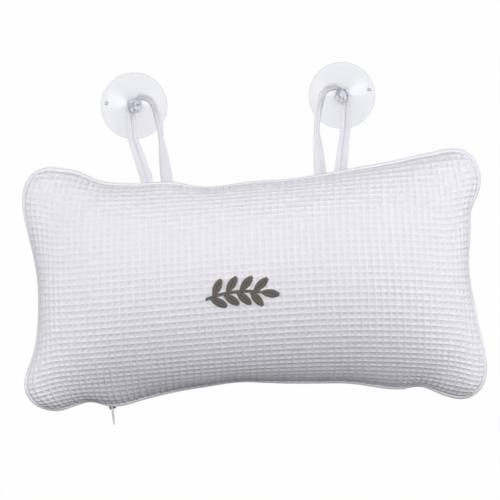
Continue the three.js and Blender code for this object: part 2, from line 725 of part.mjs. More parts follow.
// The pull lies edge on to the seam and thins towards both ends; its window clears the bridge when it is
// laid over
function zipPull() {
  const windowHalf = BRIDGE_WIDTH / 2 + CLEARANCE;
  const half = windowHalf + PULL_ARM;
  const windowEnd = Math.hypot(BRIDGE_LENGTH / 2, archHeight / 2 + BRIDGE_TOP) + CLEARANCE;
  const outline = new THREE.Shape();
  outline.moveTo(-PULL_BAR / 2, -half);
  outline.lineTo(PULL_LENGTH - PULL_TIP_RADIUS, -half);
  outline.quadraticCurveTo(PULL_LENGTH, -half, PULL_LENGTH, -half + PULL_TIP_RADIUS);
  outline.lineTo(PULL_LENGTH, half - PULL_TIP_RADIUS);
  outline.quadraticCurveTo(PULL_LENGTH, half, PULL_LENGTH - PULL_TIP_RADIUS, half);
  outline.lineTo(-PULL_BAR / 2, half);
  outline.closePath();
  outline.holes.push(new THREE.Path(rectangle(PULL_BAR / 2, windowEnd, -windowHalf, windowHalf).reverse()));
  const settings = { depth: 2 * PULL_BELLY, bevelEnabled: false, curveSegments: CURVE_STEPS };
  const plate = new THREE.ExtrudeGeometry(outline, settings).translate(0, 0, -PULL_BELLY);
  plate.rotateX(quarterTurn);
  const shavings = [1, -1].map((side) => solid(pullShaving(side, half)));
  const pull = skin(shavings.reduce((body, shaving) => body.subtract(shaving), solid(plate)));
  pull.rotateZ(-quarterTurn - degToRad(PULL_HANG));
  return pull.translate(0, -barOut, 0);
}

// What is taken off one face of the pull, seen edge on
function pullShaving(side, half) {
  const past = PULL_LENGTH + PULL_BAR;
  const profile = new THREE.Shape();
  profile.moveTo(-PULL_BAR, side * PULL_ROOT / 2);
  profile.lineTo(PULL_BELLY_AT, side * PULL_BELLY / 2);
  profile.lineTo(past, side * PULL_TIP / 2);
  profile.lineTo(past, side * 2 * PULL_BELLY);
  profile.lineTo(-PULL_BAR, side * 2 * PULL_BELLY);
  profile.closePath();
  const settings = { depth: 4 * half, bevelEnabled: false };
  return new THREE.ExtrudeGeometry(profile, settings).translate(0, 0, -2 * half);
}

// The back panel, cut open for the zip and for the sewn tails
function backPanel(loopGroups) {
  const whole = solid(between(inset(backFace, backNormals, PANEL_THICKNESS), backFace));
  const cutSection = rectangle(-cutInset - 2 * PANEL_THICKNESS, pipingSpan, zipCutHeight, SEAM_HEIGHT);
  const cutEnds = ZIP_TAPE_MARGIN + CLEARANCE;
  const zipRoom = solid(zipBand(stopsStart - cutEnds, stopsEnd + cutEnds, cutSection));
  const tailRooms = loopGroups.flatMap((group) => {
    group.updateMatrixWorld();
    return [-1, 1].map((sign) => (
      solid(tail(sign * TAPE_END_SPACING / 2, CLEARANCE).applyMatrix4(group.matrixWorld))
    ));
  });
  return skin([zipRoom, ...tailRooms].reduce((panel, room) => panel.subtract(room), whole));
}

// Embroidery: a bent stem with pairs of pointed leaves, cut from a layer that follows the front panel
function leafOutline() {
  const leaf = new THREE.Shape();
  leaf.moveTo(0, 0);
  leaf.quadraticCurveTo(LEAF_LENGTH / 2, LEAF_WIDTH, LEAF_LENGTH, 0);
  leaf.quadraticCurveTo(LEAF_LENGTH / 2, -LEAF_WIDTH, 0, 0);
  return leaf;
}

function uprightPrism(shape) {
  const settings = { depth: FRONT_CROWN * 2, bevelEnabled: false, curveSegments: CURVE_STEPS };
  return new THREE.ExtrudeGeometry(shape, settings).translate(0, 0, SEAM_HEIGHT);
}

function sprigPrism() {
  const stemTurn = SPRIG_LENGTH / SPRIG_BEND_RADIUS;
  const leafSpace = (SPRIG_LENGTH - LEAF_LENGTH) / SPRIG_BEND_RADIUS;
  const stem = new THREE.Shape();
  const stemEnd = quarterTurn - stemTurn / 2 + LEAF_LENGTH / 2 / SPRIG_BEND_RADIUS;
  stem.absarc(0, 0, SPRIG_BEND_RADIUS + STEM_WIDTH / 2, quarterTurn + stemTurn / 2, stemEnd, true);
  stem.absarc(0, 0, SPRIG_BEND_RADIUS - STEM_WIDTH / 2, stemEnd, quarterTurn + stemTurn / 2, false);
  const pieces = [uprightPrism(stem)];
  const addLeaf = (share, angle) => {
    const turn = quarterTurn + stemTurn / 2 - leafSpace * share;
    const leaf = uprightPrism(leafOutline());
    leaf.rotateZ(turn - quarterTurn + degToRad(angle));
    leaf.translate(SPRIG_BEND_RADIUS * Math.cos(turn), SPRIG_BEND_RADIUS * Math.sin(turn), 0);
    pieces.push(leaf);
  };
  for (let pair = 0; pair < LEAF_PAIRS; pair += 1) {
    const share = (pair + 0.5) / LEAF_PAIRS;
    addLeaf(share, LEAF_ANGLE);
    addLeaf(share - LEAF_STAGGER / LEAF_PAIRS, -LEAF_ANGLE);
  }
  addLeaf(1, 0);
  return joined(pieces).translate(SPRIG_X, SPRIG_Y - SPRIG_BEND_RADIUS, 0);
}

function embroidery() {
  const layer = between(
    inset(frontFace, frontNormals, -CLEARANCE - THREAD_THICKNESS),
    inset(frontFace, frontNormals, -CLEARANCE),
  );
  return skin(solid(layer).intersect(solid(sprigPrism())));
}

// The stabiliser lies in the middle of the room between the front panel and the pad
function embroideryBacking() {
  const outline = new THREE.Shape();
  const halfLength = SPRIG_LENGTH / 2 + BACKING_MARGIN;
  outline.absellipse(SPRIG_X, SPRIG_Y, halfLength, BACKING_HEIGHT / 2, 0, 2 * Math.PI, false);
  const layer = between(
    inset(frontFace, frontNormals, PANEL_THICKNESS + PAD_ROOM / 3),
    inset(frontFace, frontNormals, PANEL_THICKNESS + PAD_ROOM * 2 / 3),
  );
  return skin(solid(layer).intersect(solid(uprightPrism(outline))));
}

// Materials
function finish(color, roughness, metalness = 0) {
  return new THREE.MeshStandardMaterial({ color, roughness, metalness });
}

const finishes = {
  waffleCotton: () => finish('#eeedf3', 0.95),
  whiteCotton: () => finish('#f4f4f6', 0.9),
  lining: () => finish('#e9e9e6', 0.9),
  fibre: () => finish('#f6f6f4', 1),
  thread: () => finish('#6f6963', 0.55),
  softVinyl: () => finish('#f2f3f7', 0.12),
  zipTape: () => finish('#ececee', 0.85),
  nylon: () => finish('#e2e2e4', 0.5),
  greyMetal: () => finish('#8d8d90', 0.35, 1),
};

const bathPillow = new THREE.Group();

function add(parent, name, geometry, makeFinish) {
  const mesh = new THREE.Mesh(geometry, makeFinish());
  mesh.name = name;
  parent.add(mesh);
}

const loopGroups = loops.map(foldGroup);

add(bathPillow, 'front_panel', frontPanel(), finishes.waffleCotton);
add(bathPillow, 'back_panel', backPanel(loopGroups), finishes.waffleCotton);
add(bathPillow, 'piping_cover', pipingCover(), finishes.whiteCotton);
add(bathPillow, 'piping_cord', pipingCord(), finishes.fibre);
add(bathPillow, 'inner_pad_front', padFront(), finishes.lining);
add(bathPillow, 'inner_pad_back', padBack(), finishes.lining);
add(bathPillow, 'fibre_fill', fibreFill(), finishes.fibre);
add(bathPillow, 'embroidery', embroidery(), finishes.thread);
add(bathPillow, 'embroidery_backing', embroideryBacking(), finishes.lining);

loops.forEach((loop, i) => {
  const group = loopGroups[i];
  bathPillow.add(group);
  const outerAcross = loop.outward * TAPE_END_SPACING / 2;
  add(group, `${loop.side}_strap`, strap(loop, group), finishes.whiteCotton);
  add(group, `${loop.side}_strap_outer_tail`, tail(outerAcross), finishes.whiteCotton);
  add(group, `${loop.side}_strap_inner_tail`, tail(-outerAcross), finishes.whiteCotton);
  const cupGroup = new THREE.Group();
  cupGroup.position.set(loop.cupX, loop.cupY, 0);
  bathPillow.add(cupGroup);
  add(cupGroup, `${loop.side}_suction_cup`, suctionCup(loop.pipAngle), finishes.softVinyl);
});

const sliderPlace = sliderGroup();
bathPillow.add(sliderPlace);
add(sliderPlace, 'zip_slider', zipSlider(), finishes.greyMetal);
add(sliderPlace, 'zip_pull', zipPull(), finishes.greyMetal);
add(bathPillow, 'zip_tape_upper', zipTapeUpper(), finishes.zipTape);
add(bathPillow, 'zip_tape_lower', zipTapeLower(), finishes.zipTape);
add(bathPillow, 'zip_teeth_upper', zipTeeth(upperTeethTop, -1), finishes.nylon);
add(bathPillow, 'zip_teeth_lower', zipTeeth(lowerTeethBottom, 1), finishes.nylon);

const upperTopStop = zipStop(stopsStart, upperTeethTop - rowHeight, upperTeethTop);
const lowerTopStop = zipStop(stopsStart, lowerTeethBottom, lowerTeethBottom + rowHeight);
const bottomStop = zipStop(ZIP_END + CLEARANCE, lowerTeethBottom, upperTeethTop);
add(bathPillow, 'zip_top_stop_upper', upperTopStop, finishes.greyMetal);
add(bathPillow, 'zip_top_stop_lower', lowerTopStop, finishes.greyMetal);
add(bathPillow, 'zip_bottom_stop', bottomStop, finishes.greyMetal);

export default bathPillow;
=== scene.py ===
"""A bath pillow on its back: waffle cover, piping, tape loops with suction cups, zip and embroidery."""

import math

import bmesh
import bpy
import numpy as np
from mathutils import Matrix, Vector
from mathutils.bvhtree import BVHTree


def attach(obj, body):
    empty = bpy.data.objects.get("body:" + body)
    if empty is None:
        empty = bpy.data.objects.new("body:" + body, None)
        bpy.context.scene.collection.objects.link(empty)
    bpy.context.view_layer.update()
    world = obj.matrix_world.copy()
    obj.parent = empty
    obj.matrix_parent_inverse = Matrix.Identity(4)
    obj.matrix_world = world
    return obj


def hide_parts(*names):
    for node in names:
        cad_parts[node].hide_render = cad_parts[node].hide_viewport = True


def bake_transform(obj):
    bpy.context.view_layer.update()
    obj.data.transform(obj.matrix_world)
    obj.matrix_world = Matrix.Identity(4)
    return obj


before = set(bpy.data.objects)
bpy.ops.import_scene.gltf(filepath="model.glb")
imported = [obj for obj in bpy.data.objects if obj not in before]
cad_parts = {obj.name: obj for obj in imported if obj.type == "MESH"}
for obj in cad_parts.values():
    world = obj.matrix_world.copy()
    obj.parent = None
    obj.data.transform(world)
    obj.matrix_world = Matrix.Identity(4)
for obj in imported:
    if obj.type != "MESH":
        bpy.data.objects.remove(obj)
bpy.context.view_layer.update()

MM = 0.001
TINY = 1e-9  # keeps a division off zero

# Sizes are in millimetres. First the cover and its piping
SEAM_HEIGHT = 38.0
FRONT_CROWN = 50.0
BACK_CROWN = 46.0
PIPING_DIAMETER = 3.0
PIPING_SIDES = 14
PIPING_STEP = 3  # points of the outline to one of the piping's path
CELL = 5.15  # about what one waffle cell measures along the pillow
CELLS_LONG = 70
CELLS_WIDE = 42
HALF_LENGTH = 163.5  # of the cover inside its piping
CUT_LENGTH = 346.0  # the cloth before it is filled
CUT_WIDTH = 185.4
RIDGE_HEIGHT = 0.9  # waffle ridges above the pits

# The pillow's outline over its piping, measured on the photograph: each side from the left or from below
TOP_SIDE = [
    (-154.5, 85.6), (-151, 87), (-142.6, 89), (-134, 87.2), (-123, 85.4), (-117, 82.3), (-112.7, 79.9),
    (-108.5, 77.6), (-104, 76.7), (-99, 75.8), (-89, 74.7), (-82, 74.5), (-54, 74.8), (-44, 72.3),
    (-35, 70.5), (-24, 70.1), (1, 72.7), (31, 73.7), (45, 75.3), (73, 79.3), (92, 82), (112, 85),
    (123, 87.5), (132, 88.6), (143, 91), (152, 90.6), (159, 88),
]
BOTTOM_SIDE = [
    (-153.5, -85.6), (-143, -87.5), (-132, -84.3), (-119, -81.2), (-108, -85.2), (-99, -85.6), (-78, -80.6),
    (-56, -76.4), (-34, -73.7), (-14, -71.5), (21, -73.7), (46, -74.6), (65, -75.3), (78, -77.3), (91, -79.9),
    (104, -81.1), (114.6, -79.4), (119, -79.5), (127.5, -83.5), (136, -87.4), (148.8, -90.1), (156.3, -87.6),
]
LEFT_SIDE = [
    (-153.5, -85.6), (-160.7, -82), (-166.2, -74.7), (-167.2, -64), (-161.6, -49.7), (-157.5, -35.4),
    (-154.7, 0.5), (-156.7, 22), (-160.3, 40), (-163.8, 62), (-161.8, 76.4), (-157.2, 83.5), (-154.5, 85.6),
]
RIGHT_SIDE = [
    (156.3, -87.6), (161.3, -83.7), (165.2, -76.6), (166.3, -66), (164, -48), (161.7, -37), (158.2, -15),
    (156.1, 6.6), (158.5, 31.7), (159, 46), (160.7, 49.6), (164.5, 56.7), (167, 63.8), (166.7, 74.6),
    (164, 82), (159, 88),
]
OUTLINE_STEPS = 1200
EASE_STEPS = 12  # points each way that a point of the outline is eased over
EASE_SPREAD = 4.5  # points, how widely that easing is spread
SLOPE_STEPS = 3  # points each way that give the outline's direction
ARC_STEPS = 4001  # for measuring along a rise

# Zip: an arc under the bottom seam. Distances out are from the panels' rim
ZIP_CENTRE_Y = -669.779
ZIP_RIM_RADIUS = 601.279
ZIP_OUT = 1.9
ZIP_START = -111.0
ZIP_END = 105.0
ZIP_TAPE_START = -117.5
ZIP_TAPE_END = 111.5
ZIP_STEPS = 120
ZIP_TUCK = 2.6  # the tapes' ends, into the seam
ZIP_TUCK_LENGTH = 6.0
UPPER_ZIP_TAPE = [(1.6, 33.4), (2.2, 33.4), (2.2, 36.6), (1.6, 36.6)]  # sections, out and up
LOWER_ZIP_TAPE = [(-2.2, 27.1), (2.2, 27.1), (2.2, 28.9), (1.6, 28.9), (1.6, 27.7), (-2.2, 27.7)]
TOOTH_PITCH = 2.0
TOOTH_SIZE = (1.1, 1.6, 2.1)  # along the zip, out and up
TOOTH_PATH_STEPS = 160
UPPER_TEETH_AT = 32.55  # heights of the rows' middles
LOWER_TEETH_AT = 29.75
UPPER_TEETH_SHIFT = 0.5  # along the zip: half a pitch apart, so that the rows mesh
LOWER_TEETH_SHIFT = 1.5

# How the back is drawn in behind the zip: cells from the seam, share of the way, and height where it is set
ZIP_ROWS = ((1, 1.0, 32.6), (2, 1.0, 27.0), (3, 0.75, None), (4, 0.4, None), (5, 0.15, None))
ZIP_BACK_OUT = -1.3
ZIP_ROW_GIVE = 0.6  # share of its way that a row without a set height is drawn in
ZIP_BLEND = (14, 1)  # beyond the tapes' ends, where that starts and is whole
ZIP_FLAT_BLEND = (8, 0)  # and the same for the flat cloth behind the zip
ZIP_FLAT_ROWS = (2.0, 3.2)  # cells from the seam, over which the flat cloth ends
ZIP_FLATNESS = 0.9  # share of the waffle's relief that is lost there

# Tape loops
TAPE_WIDTH = 9.0
TAPE_THICKNESS = 0.8
TAPE_END_SPACING = 14.7
FOLD_HEIGHT = 35.7
TAPE_TAIL = 3.0  # sewn into the seam, past the fold
TAPE_SAG = 0.9  # of each strand between the seam and the cup
SAG_SHARES = (0.35, 0.7)  # where a strand sags, as shares of its way
NECK_MIDDLE = 16.0
HUG_RADIUS = 4.57
NECK_TURNS = (-18, 10, 42, 78)  # degrees, where the tape lies against the neck
TAPE_STEPS = 221
TAPE_ACROSS = (-1, -0.72, -0.44, -0.32, -0.24, -0.17, -0.1, -0.02, 0.1, 0.4, 0.7, 1)  # of half its width
EDGE_THINNING = 0.35  # share of the thickness that is lost at the edges
EDGE_POWER = 6
GROOVE_AT = -0.17  # the crease's sharp bottom, in shares of half the width
GROOVE_SPREAD = 0.11
CREASE_RISE = 0.5  # of the edges, as a share of the crease's depth
RIPPLE_HEIGHT = 0.12
RIPPLE_LENGTH = 4.5  # of tape to one radian of the ripple
RIPPLE_SLANT = 1.3  # radians that the ripple lags from the middle to an edge

# How the strands change with distance from the neck's axis: lean in degrees, width and depth of the crease
TAUT_LEAN = [(HUG_RADIUS, 90), (8.5, 0)]
TAUT_WIDTH = [(HUG_RADIUS, 5.4), (9, 7.4), (30, 7.6), (52, 9)]
TAUT_CREASE = [(HUG_RADIUS, 0), (7.5, 2.2), (20, 1.6), (50, 1)]
SLACK_LEAN = [(HUG_RADIUS, 90), (7, 48), (18, 48), (32, 58), (60, 0)]
SLACK_WIDTH = [(HUG_RADIUS, 5.4), (9, 6.6), (32, 6.8), (60, 9)]
SLACK_CREASE = [(HUG_RADIUS, 0), (12, 0.6), (50, 0.4)]

# The strands' middle lines near a cup, from the neck's middle: outwards, away from the pillow and up
OUTER_STRAND = [(-0.6, -23, 5.9), (0.9, -15.5, 2.4), (1.9, -9, 0.4)]
INNER_STRAND = [(-2, 6.3, -0.1), (-6.3, 6.8, -0.3), (-11, 5.5, -0.4), (-14, 2.2, -0.2),
                (-16.5, -3.2, 0.4), (-18.8, -9.5, 1.7), (-20.5, -16, 3.5), (-21.7, -23, 5.8)]
LOOPS = {
    "left": {"outward": -1, "fold": (-66.223, 76.484), "along": (0.993828, -0.110930), "cup": (-80.6, 130.6),
             "pip": 172.7},
    "right": {"outward": 1, "fold": (59.074, 75.730), "along": (0.995092, 0.098956), "cup": (69.5, 132.4),
              "pip": 9.9},
}

# Suction cups: distances from the axis and heights, out along the inside, round the rim and back over the top
CUP_HOLLOW = [(0.0, 4.5), (4.0, 4.42), (8.0, 4.0), (12.0, 3.2), (16.0, 2.05), (19.5, 0.8), (21.3, 0.12)]
CUP_RIM = [(22.0, 0.0), (23.2, 0.0), (23.75, 0.15), (24.0, 0.5), (23.85, 0.85), (23.4, 1.08)]
CUP_DOME = [(22.4, 1.36), (21.0, 1.9), (19.6, 2.55), (17.5, 3.6), (14.5, 5.15), (11.5, 6.75), (8.8, 8.35)]
CUP_NECK = [(6.6, 9.95), (5.2, 11.4), (4.5, 12.5), (3.95, 13.8), (3.65, 15.5), (3.6, 17.5), (3.68, 19.0)]
CUP_HEAD = [(3.95, 19.7), (4.4, 20.05), (4.7, 20.5), (4.8, 21.1), (4.7, 21.7), (4.3, 22.5), (3.6, 23.1),
            (2.5, 23.55), (1.2, 23.76), (0.0, 23.8)]
CUP_SAMPLES = 3
CUP_SIDES = 240
POLISHED_FROM = (9.0, 12.5)  # heights between which the satin disc turns into the polished neck
PIP_FROM_AXIS = 20.2
PIP_HEIGHT = 0.8
PIP_SLOPE = (0.7, 1.5)  # from the pip's middle, where it starts to fall and where it ends
PIP_RING = ((0.3, 0.7), (1.1, 1.5))  # where the ring of painted shade on it begins and ends

# Embroidered sprig
SPRIG_AT = (-7.2, -5.9)
SPRIG_LENGTH = 54.0
SPRIG_BEND = 75.0
STEM_WIDTH = 1.6
LEAF_LENGTH = 14.5
LEAF_WIDTH = 5.4
LEAF_PAIRS = 4
LEAF_ANGLE = 46.0  # degrees from the stem
LEAF_STAGGER = 0.25  # of the space between pairs, that one leaf of a pair sits further back
STITCH_SPACING = 1.0  # coarser than the real 0.4 mm, so that the stitches show
STITCH_THREAD = 1.06
STITCH_SIDES = 6
STITCH_ARCH = 0.9
STITCH_SEAT = 0.8  # of a ridge's height, where the thread's ends lie
STITCH_DROP = 200.0  # height from which the stitches are laid on the cloth
STEM_STITCH = 0.62  # half a stem stitch, as a share of the stem's width
STEM_STITCH_LEAN = 0.9  # radians
STEM_POINTS = 4
LEAF_POINTS = 5
LEAF_ENDS = (0.4, 0.2)  # bare lengths at a leaf's base and tip
LEAF_STITCH_BACK = 0.9  # how far a stitch leans back at the leaf's middle, and forward at its edge
LEAF_STITCH_ON = 0.5
LEAF_OVERLAP = 0.12  # of the two rows at the middle
LEAF_FULL_LEAN = 2.0  # half width from which the stitches lean that far

# The cover's fill and waffle
FILL_FRAMES = 24
FILL_REACH = 16.0  # the most that the fill may move a point of the cloth
SOFTEN_ROUNDS = 3
TABLE_GAP = 0.1  # between the back's ridges and the table
TABLE_SOFTNESS = 2.0  # height over which the back flattens out on the table
FRONT_ARC = 1.33  # radians, half the arc that the front makes from one long edge to the other
BACK_FULL = 0.8  # share of the back's depth that follows a rounded box, where the rest is a parabola
BACK_POWER = 2.4
END_FULL = 0.5  # share of the rise from end to end that follows a rounded box, where the rest is a flat dome
END_POWER = 6
DOME_POWER = 4
LONG_BEND = 0.8  # radians of an arc that sets how cells along the seam close up towards the corners
BOTTOM_CLOSE = 0.65  # share that cells at the pillow's ends have lost in the bottom corners
TOP_CLOSE = 0.3  # and in the top ones
END_SHARE = 0.88  # of the way to the ends, where the cells are all like that
SEAM_CELLS = 7  # over which the cells along the seam give way to cells of one size
WAVE_CELLS = 6  # over which the seam's waves fade out of the rows
CELL_SAMPLES = (0.0, 0.1, 0.23, 0.77, 0.9)  # points along a cell, as shares of it
RIDGE_REACH = 0.26  # half a ridge's width, as a share of the cell
RIM_CELLS = 0.6  # over which the relief starts at the seam
PIT_KEPT = 0.5  # share of the relief below which the pits lose their painted shade and take on the ridges' tone
CROSS_RIDGE = 0.95  # ridges along the pillow stand this much as high as those across it
BOTTOM_PULL = 0.55  # share of that which is lost at the bottom edge, where the cloth is pulled taut
PULL_ROWS = (1, 8)  # cells from the bottom edge, over which the pull ends
PULL_ENDS = (9, 20)  # and cells from the pillow's ends, over which it begins

# Parts that are carried over from the solids
MERGE_DISTANCE = 1e-6  # metres
FLAT_ANGLE = 2.0  # degrees, below which faces are joined
SHARP_ANGLE = 30.0  # degrees, above which edges are rounded
BEVEL_SEGMENTS = 2
SLIDER_BEVEL = 0.18
PULL_BEVEL = 0.2
STOP_BEVEL = 0.25

# Spacing and relief of what the materials show: threads and ribs, patches of tone, marks of the mould, and
# painted streaks of refracted shade in the vinyl
WAVE_RADIANS = 20  # that a Wave texture turns through in one unit at a scale of 1
YARN_SPACING = 0.43
YARN_RELIEF = 0.12
WAFFLE_PATCH = 28.0
BIAS_SPACING = 0.5
BIAS_RELIEF = 0.06
BIAS_TURN = (0, 0.6, 0.785)  # radians
BIAS_PATCH = 9.0
TWILL_SPACING = 1.1  # coarser than the real 0.5 mm, so that the ribs show
TWILL_RELIEF = 0.12
TWILL_TURN = 58.0  # degrees from the tape's length
TWILL_PATCH = 12.0
VINYL_RIPPLE = 7.0
VINYL_RELIEF = 0.25
VINYL_STREAKS = 3.8
DYE_FLECK = 0.9
DYE_RELIEF = 0.05
KNIT_SPACING = 0.7
KNIT_RELIEF = 0.08
NYLON_CLOUD = 3.0
NYLON_GLOW = 1.0  # depth to which light goes into it
ZINC_MARK = 0.6
ZINC_RELIEF = 0.02

# Camera and light. The lamps' places, aims and sizes are in metres
SENSOR_WIDTH = 36.0
VIEW_DISTANCE = 16000.0
VIEW_WIDTH = 360.0  # across the picture, at the seam's height
VIEW_CENTRE = (-1.02, 23.41)
VIEW_LEAN = 2.2  # degrees
VIEW_CLIP = (0.1, 100)  # metres
KEY_AT = (0.13, 0.14, 1.75)
KEY_AIM = (0, 0, 0.04)
KEY_SIZE = 1.1
KEY_WATTS = 21.4
LEFT_AT = (-1.3, 0.52, 0.42)
LEFT_WATTS = 10.0
RIGHT_AT = (1.3, 0.54, 0.42)
RIGHT_WATTS = 10.2
SIDE_AIM = (0, 0.05, 0.03)
SIDE_SIZE = 0.9
FILL_LIGHT = 0.05
WALL_LIGHT = 0.09  # of the room's walls, against 1 for its ceiling
WALL_FADE = (0.1, 0.6)  # heights of the view's direction, between which the walls turn into the ceiling
FLOOR_WHITE = 0.99  # share of what the camera sees of the floor that is plain white
FLOOR_HALF = 6000.0
FLOOR_HEIGHT = -0.3


def linear(hex_colour):
    """An sRGB hex colour as linear red, green, blue and alpha."""
    parts = [int(hex_colour[i:i + 2], 16) / 255 for i in (1, 3, 5)]
    return [c / 12.92 if c <= 0.04045 else ((c + 0.055) / 1.055) ** 2.4 for c in parts] + [1.0]


def node(tree, kind, inputs=None, **settings):
    """Adds a node, with its settings and its inputs' values or links."""
    made = tree.nodes.new(kind)
    for name, value in settings.items():
        setattr(made, name, value)
    for name, value in (inputs or {}).items():
        if isinstance(value, bpy.types.NodeSocket):
            tree.links.new(value, made.inputs[name])
        else:
            made.inputs[name].default_value = value
    return made


def material(name):
    """A new material with an empty tree."""
    made = bpy.data.materials.new(name)
    made.use_nodes = True
    made.node_tree.nodes.clear()
    return made, made.node_tree


def wave_scale(period):
    """A Wave texture's scale for bands that repeat after a period; slanting bands come out a little wider."""
    return 2 * math.pi / WAVE_RADIANS / period


# Bleached cotton, woven in waffle cells: soft matt yarn, paler on the ridges, with painted shade in the pits
def waffle_cotton():
    made, tree = material("bleached_cotton_waffle")
    weave = node(tree, "ShaderNodeUVMap", uv_map="weave")
    yarn = {"Vector": weave.outputs[0], "Scale": wave_scale(YARN_SPACING / CELL), "Distortion": 0.6,
            "Detail": 1.0}
    warp = node(tree, "ShaderNodeTexWave", yarn, bands_direction="X")
    weft = node(tree, "ShaderNodeTexWave", yarn, bands_direction="Y")
    woven = node(tree, "ShaderNodeMath", {0: warp.outputs["Fac"], 1: weft.outputs["Fac"]},
                 operation="MAXIMUM")
    bump = node(tree, "ShaderNodeBump", {
        "Height": woven.outputs[0], "Distance": YARN_RELIEF * MM, "Strength": 0.6})
    # painted shade in the pits: this share is 1 on the ridges and low in the pits, which take the darker
    # colour
    painted_pit_shade = node(tree, "ShaderNodeAttribute", attribute_name="ridge")
    place = node(tree, "ShaderNodeTexCoord")
    wash = node(tree, "ShaderNodeTexNoise", {
        "Vector": place.outputs["Object"], "Scale": 1 / (WAFFLE_PATCH * MM), "Detail": 3.0})
    uneven = node(tree, "ShaderNodeMath", {0: wash.outputs["Fac"], 1: 0.25, 2: -0.1},
                  operation="MULTIPLY_ADD")
    share = node(tree, "ShaderNodeMath", {0: painted_pit_shade.outputs["Fac"], 1: uneven.outputs[0]},
                 operation="ADD", use_clamp=True)
    colour = node(tree, "ShaderNodeMix", {
        "Factor": share.outputs[0], 6: linear("#eeedf3"), 7: linear("#f5f4f9")}, data_type="RGBA")
    shader = node(tree, "ShaderNodeBsdfPrincipled", {
        "Base Color": colour.outputs[2], "Normal": bump.outputs[0], "Roughness": 0.92, "IOR": 1.47,
        "Sheen Weight": 0.12, "Sheen Roughness": 0.6})
    node(tree, "ShaderNodeOutputMaterial", {"Surface": shader.outputs[0]})
    return made


# Plain-weave cotton cut on the bias: smooth, with its threads running slantwise round the cord
def bias_cotton():
    made, tree = material("bias_cut_cotton")
    place = node(tree, "ShaderNodeTexCoord")
    turned = node(tree, "ShaderNodeMapping", {"Vector": place.outputs["Object"], "Rotation": BIAS_TURN})
    threads = node(tree, "ShaderNodeTexWave", {
        "Vector": turned.outputs[0], "Scale": wave_scale(BIAS_SPACING * MM), "Distortion": 1.0,
        "Detail": 2.0}, bands_direction="DIAGONAL")
    bump = node(tree, "ShaderNodeBump", {
        "Height": threads.outputs["Fac"], "Distance": BIAS_RELIEF * MM, "Strength": 0.5})
    wash = node(tree, "ShaderNodeTexNoise", {
        "Vector": place.outputs["Object"], "Scale": 1 / (BIAS_PATCH * MM), "Detail": 2.0})
    colour = node(tree, "ShaderNodeMix", {
        "Factor": wash.outputs["Fac"], 6: linear("#e3e2e8"), 7: linear("#f0eff4")}, data_type="RGBA")
    shader = node(tree, "ShaderNodeBsdfPrincipled", {
        "Base Color": colour.outputs[2], "Normal": bump.outputs[0], "Roughness": 0.85, "IOR": 1.47})
    node(tree, "ShaderNodeOutputMaterial", {"Surface": shader.outputs[0]})
    return made


# Cotton tape, twill woven: slanting ribs, soft and matt, thin enough to let light through
def twill_tape():
    made, tree = material("twill_cotton_tape")
    weave = node(tree, "ShaderNodeUVMap", uv_map="weave")
    turned = node(tree, "ShaderNodeMapping", {
        "Vector": weave.outputs[0], "Rotation": (0, 0, math.radians(TWILL_TURN))})
    ribs = node(tree, "ShaderNodeTexWave", {
        "Vector": turned.outputs[0], "Scale": wave_scale(TWILL_SPACING * MM), "Distortion": 0.5,
        "Detail": 1.0}, bands_direction="X")
    bump = node(tree, "ShaderNodeBump", {
        "Height": ribs.outputs["Fac"], "Distance": TWILL_RELIEF * MM, "Strength": 0.5})
    wash = node(tree, "ShaderNodeTexNoise", {
        "Vector": weave.outputs[0], "Scale": 1 / (TWILL_PATCH * MM), "Detail": 2.0})
    share = node(tree, "ShaderNodeMath", {0: ribs.outputs["Fac"], 1: 0.45, 2: wash.outputs["Fac"]},
                 operation="MULTIPLY_ADD", use_clamp=True)
    colour = node(tree, "ShaderNodeMix", {
        "Factor": share.outputs[0], 6: linear("#e6e5ea"), 7: linear("#f6f5f9")}, data_type="RGBA")
    shader = node(tree, "ShaderNodeBsdfPrincipled", {
        "Base Color": colour.outputs[2], "Normal": bump.outputs[0], "Roughness": 0.8, "IOR": 1.47,
        "Sheen Weight": 0.1})
    glow = node(tree, "ShaderNodeBsdfTranslucent", {"Color": linear("#f4f3f7"), "Normal": bump.outputs[0]})
    thin = node(tree, "ShaderNodeMixShader", {0: 0.4, 1: shader.outputs[0], 2: glow.outputs[0]})
    node(tree, "ShaderNodeOutputMaterial", {"Surface": thin.outputs[0]})
    return made
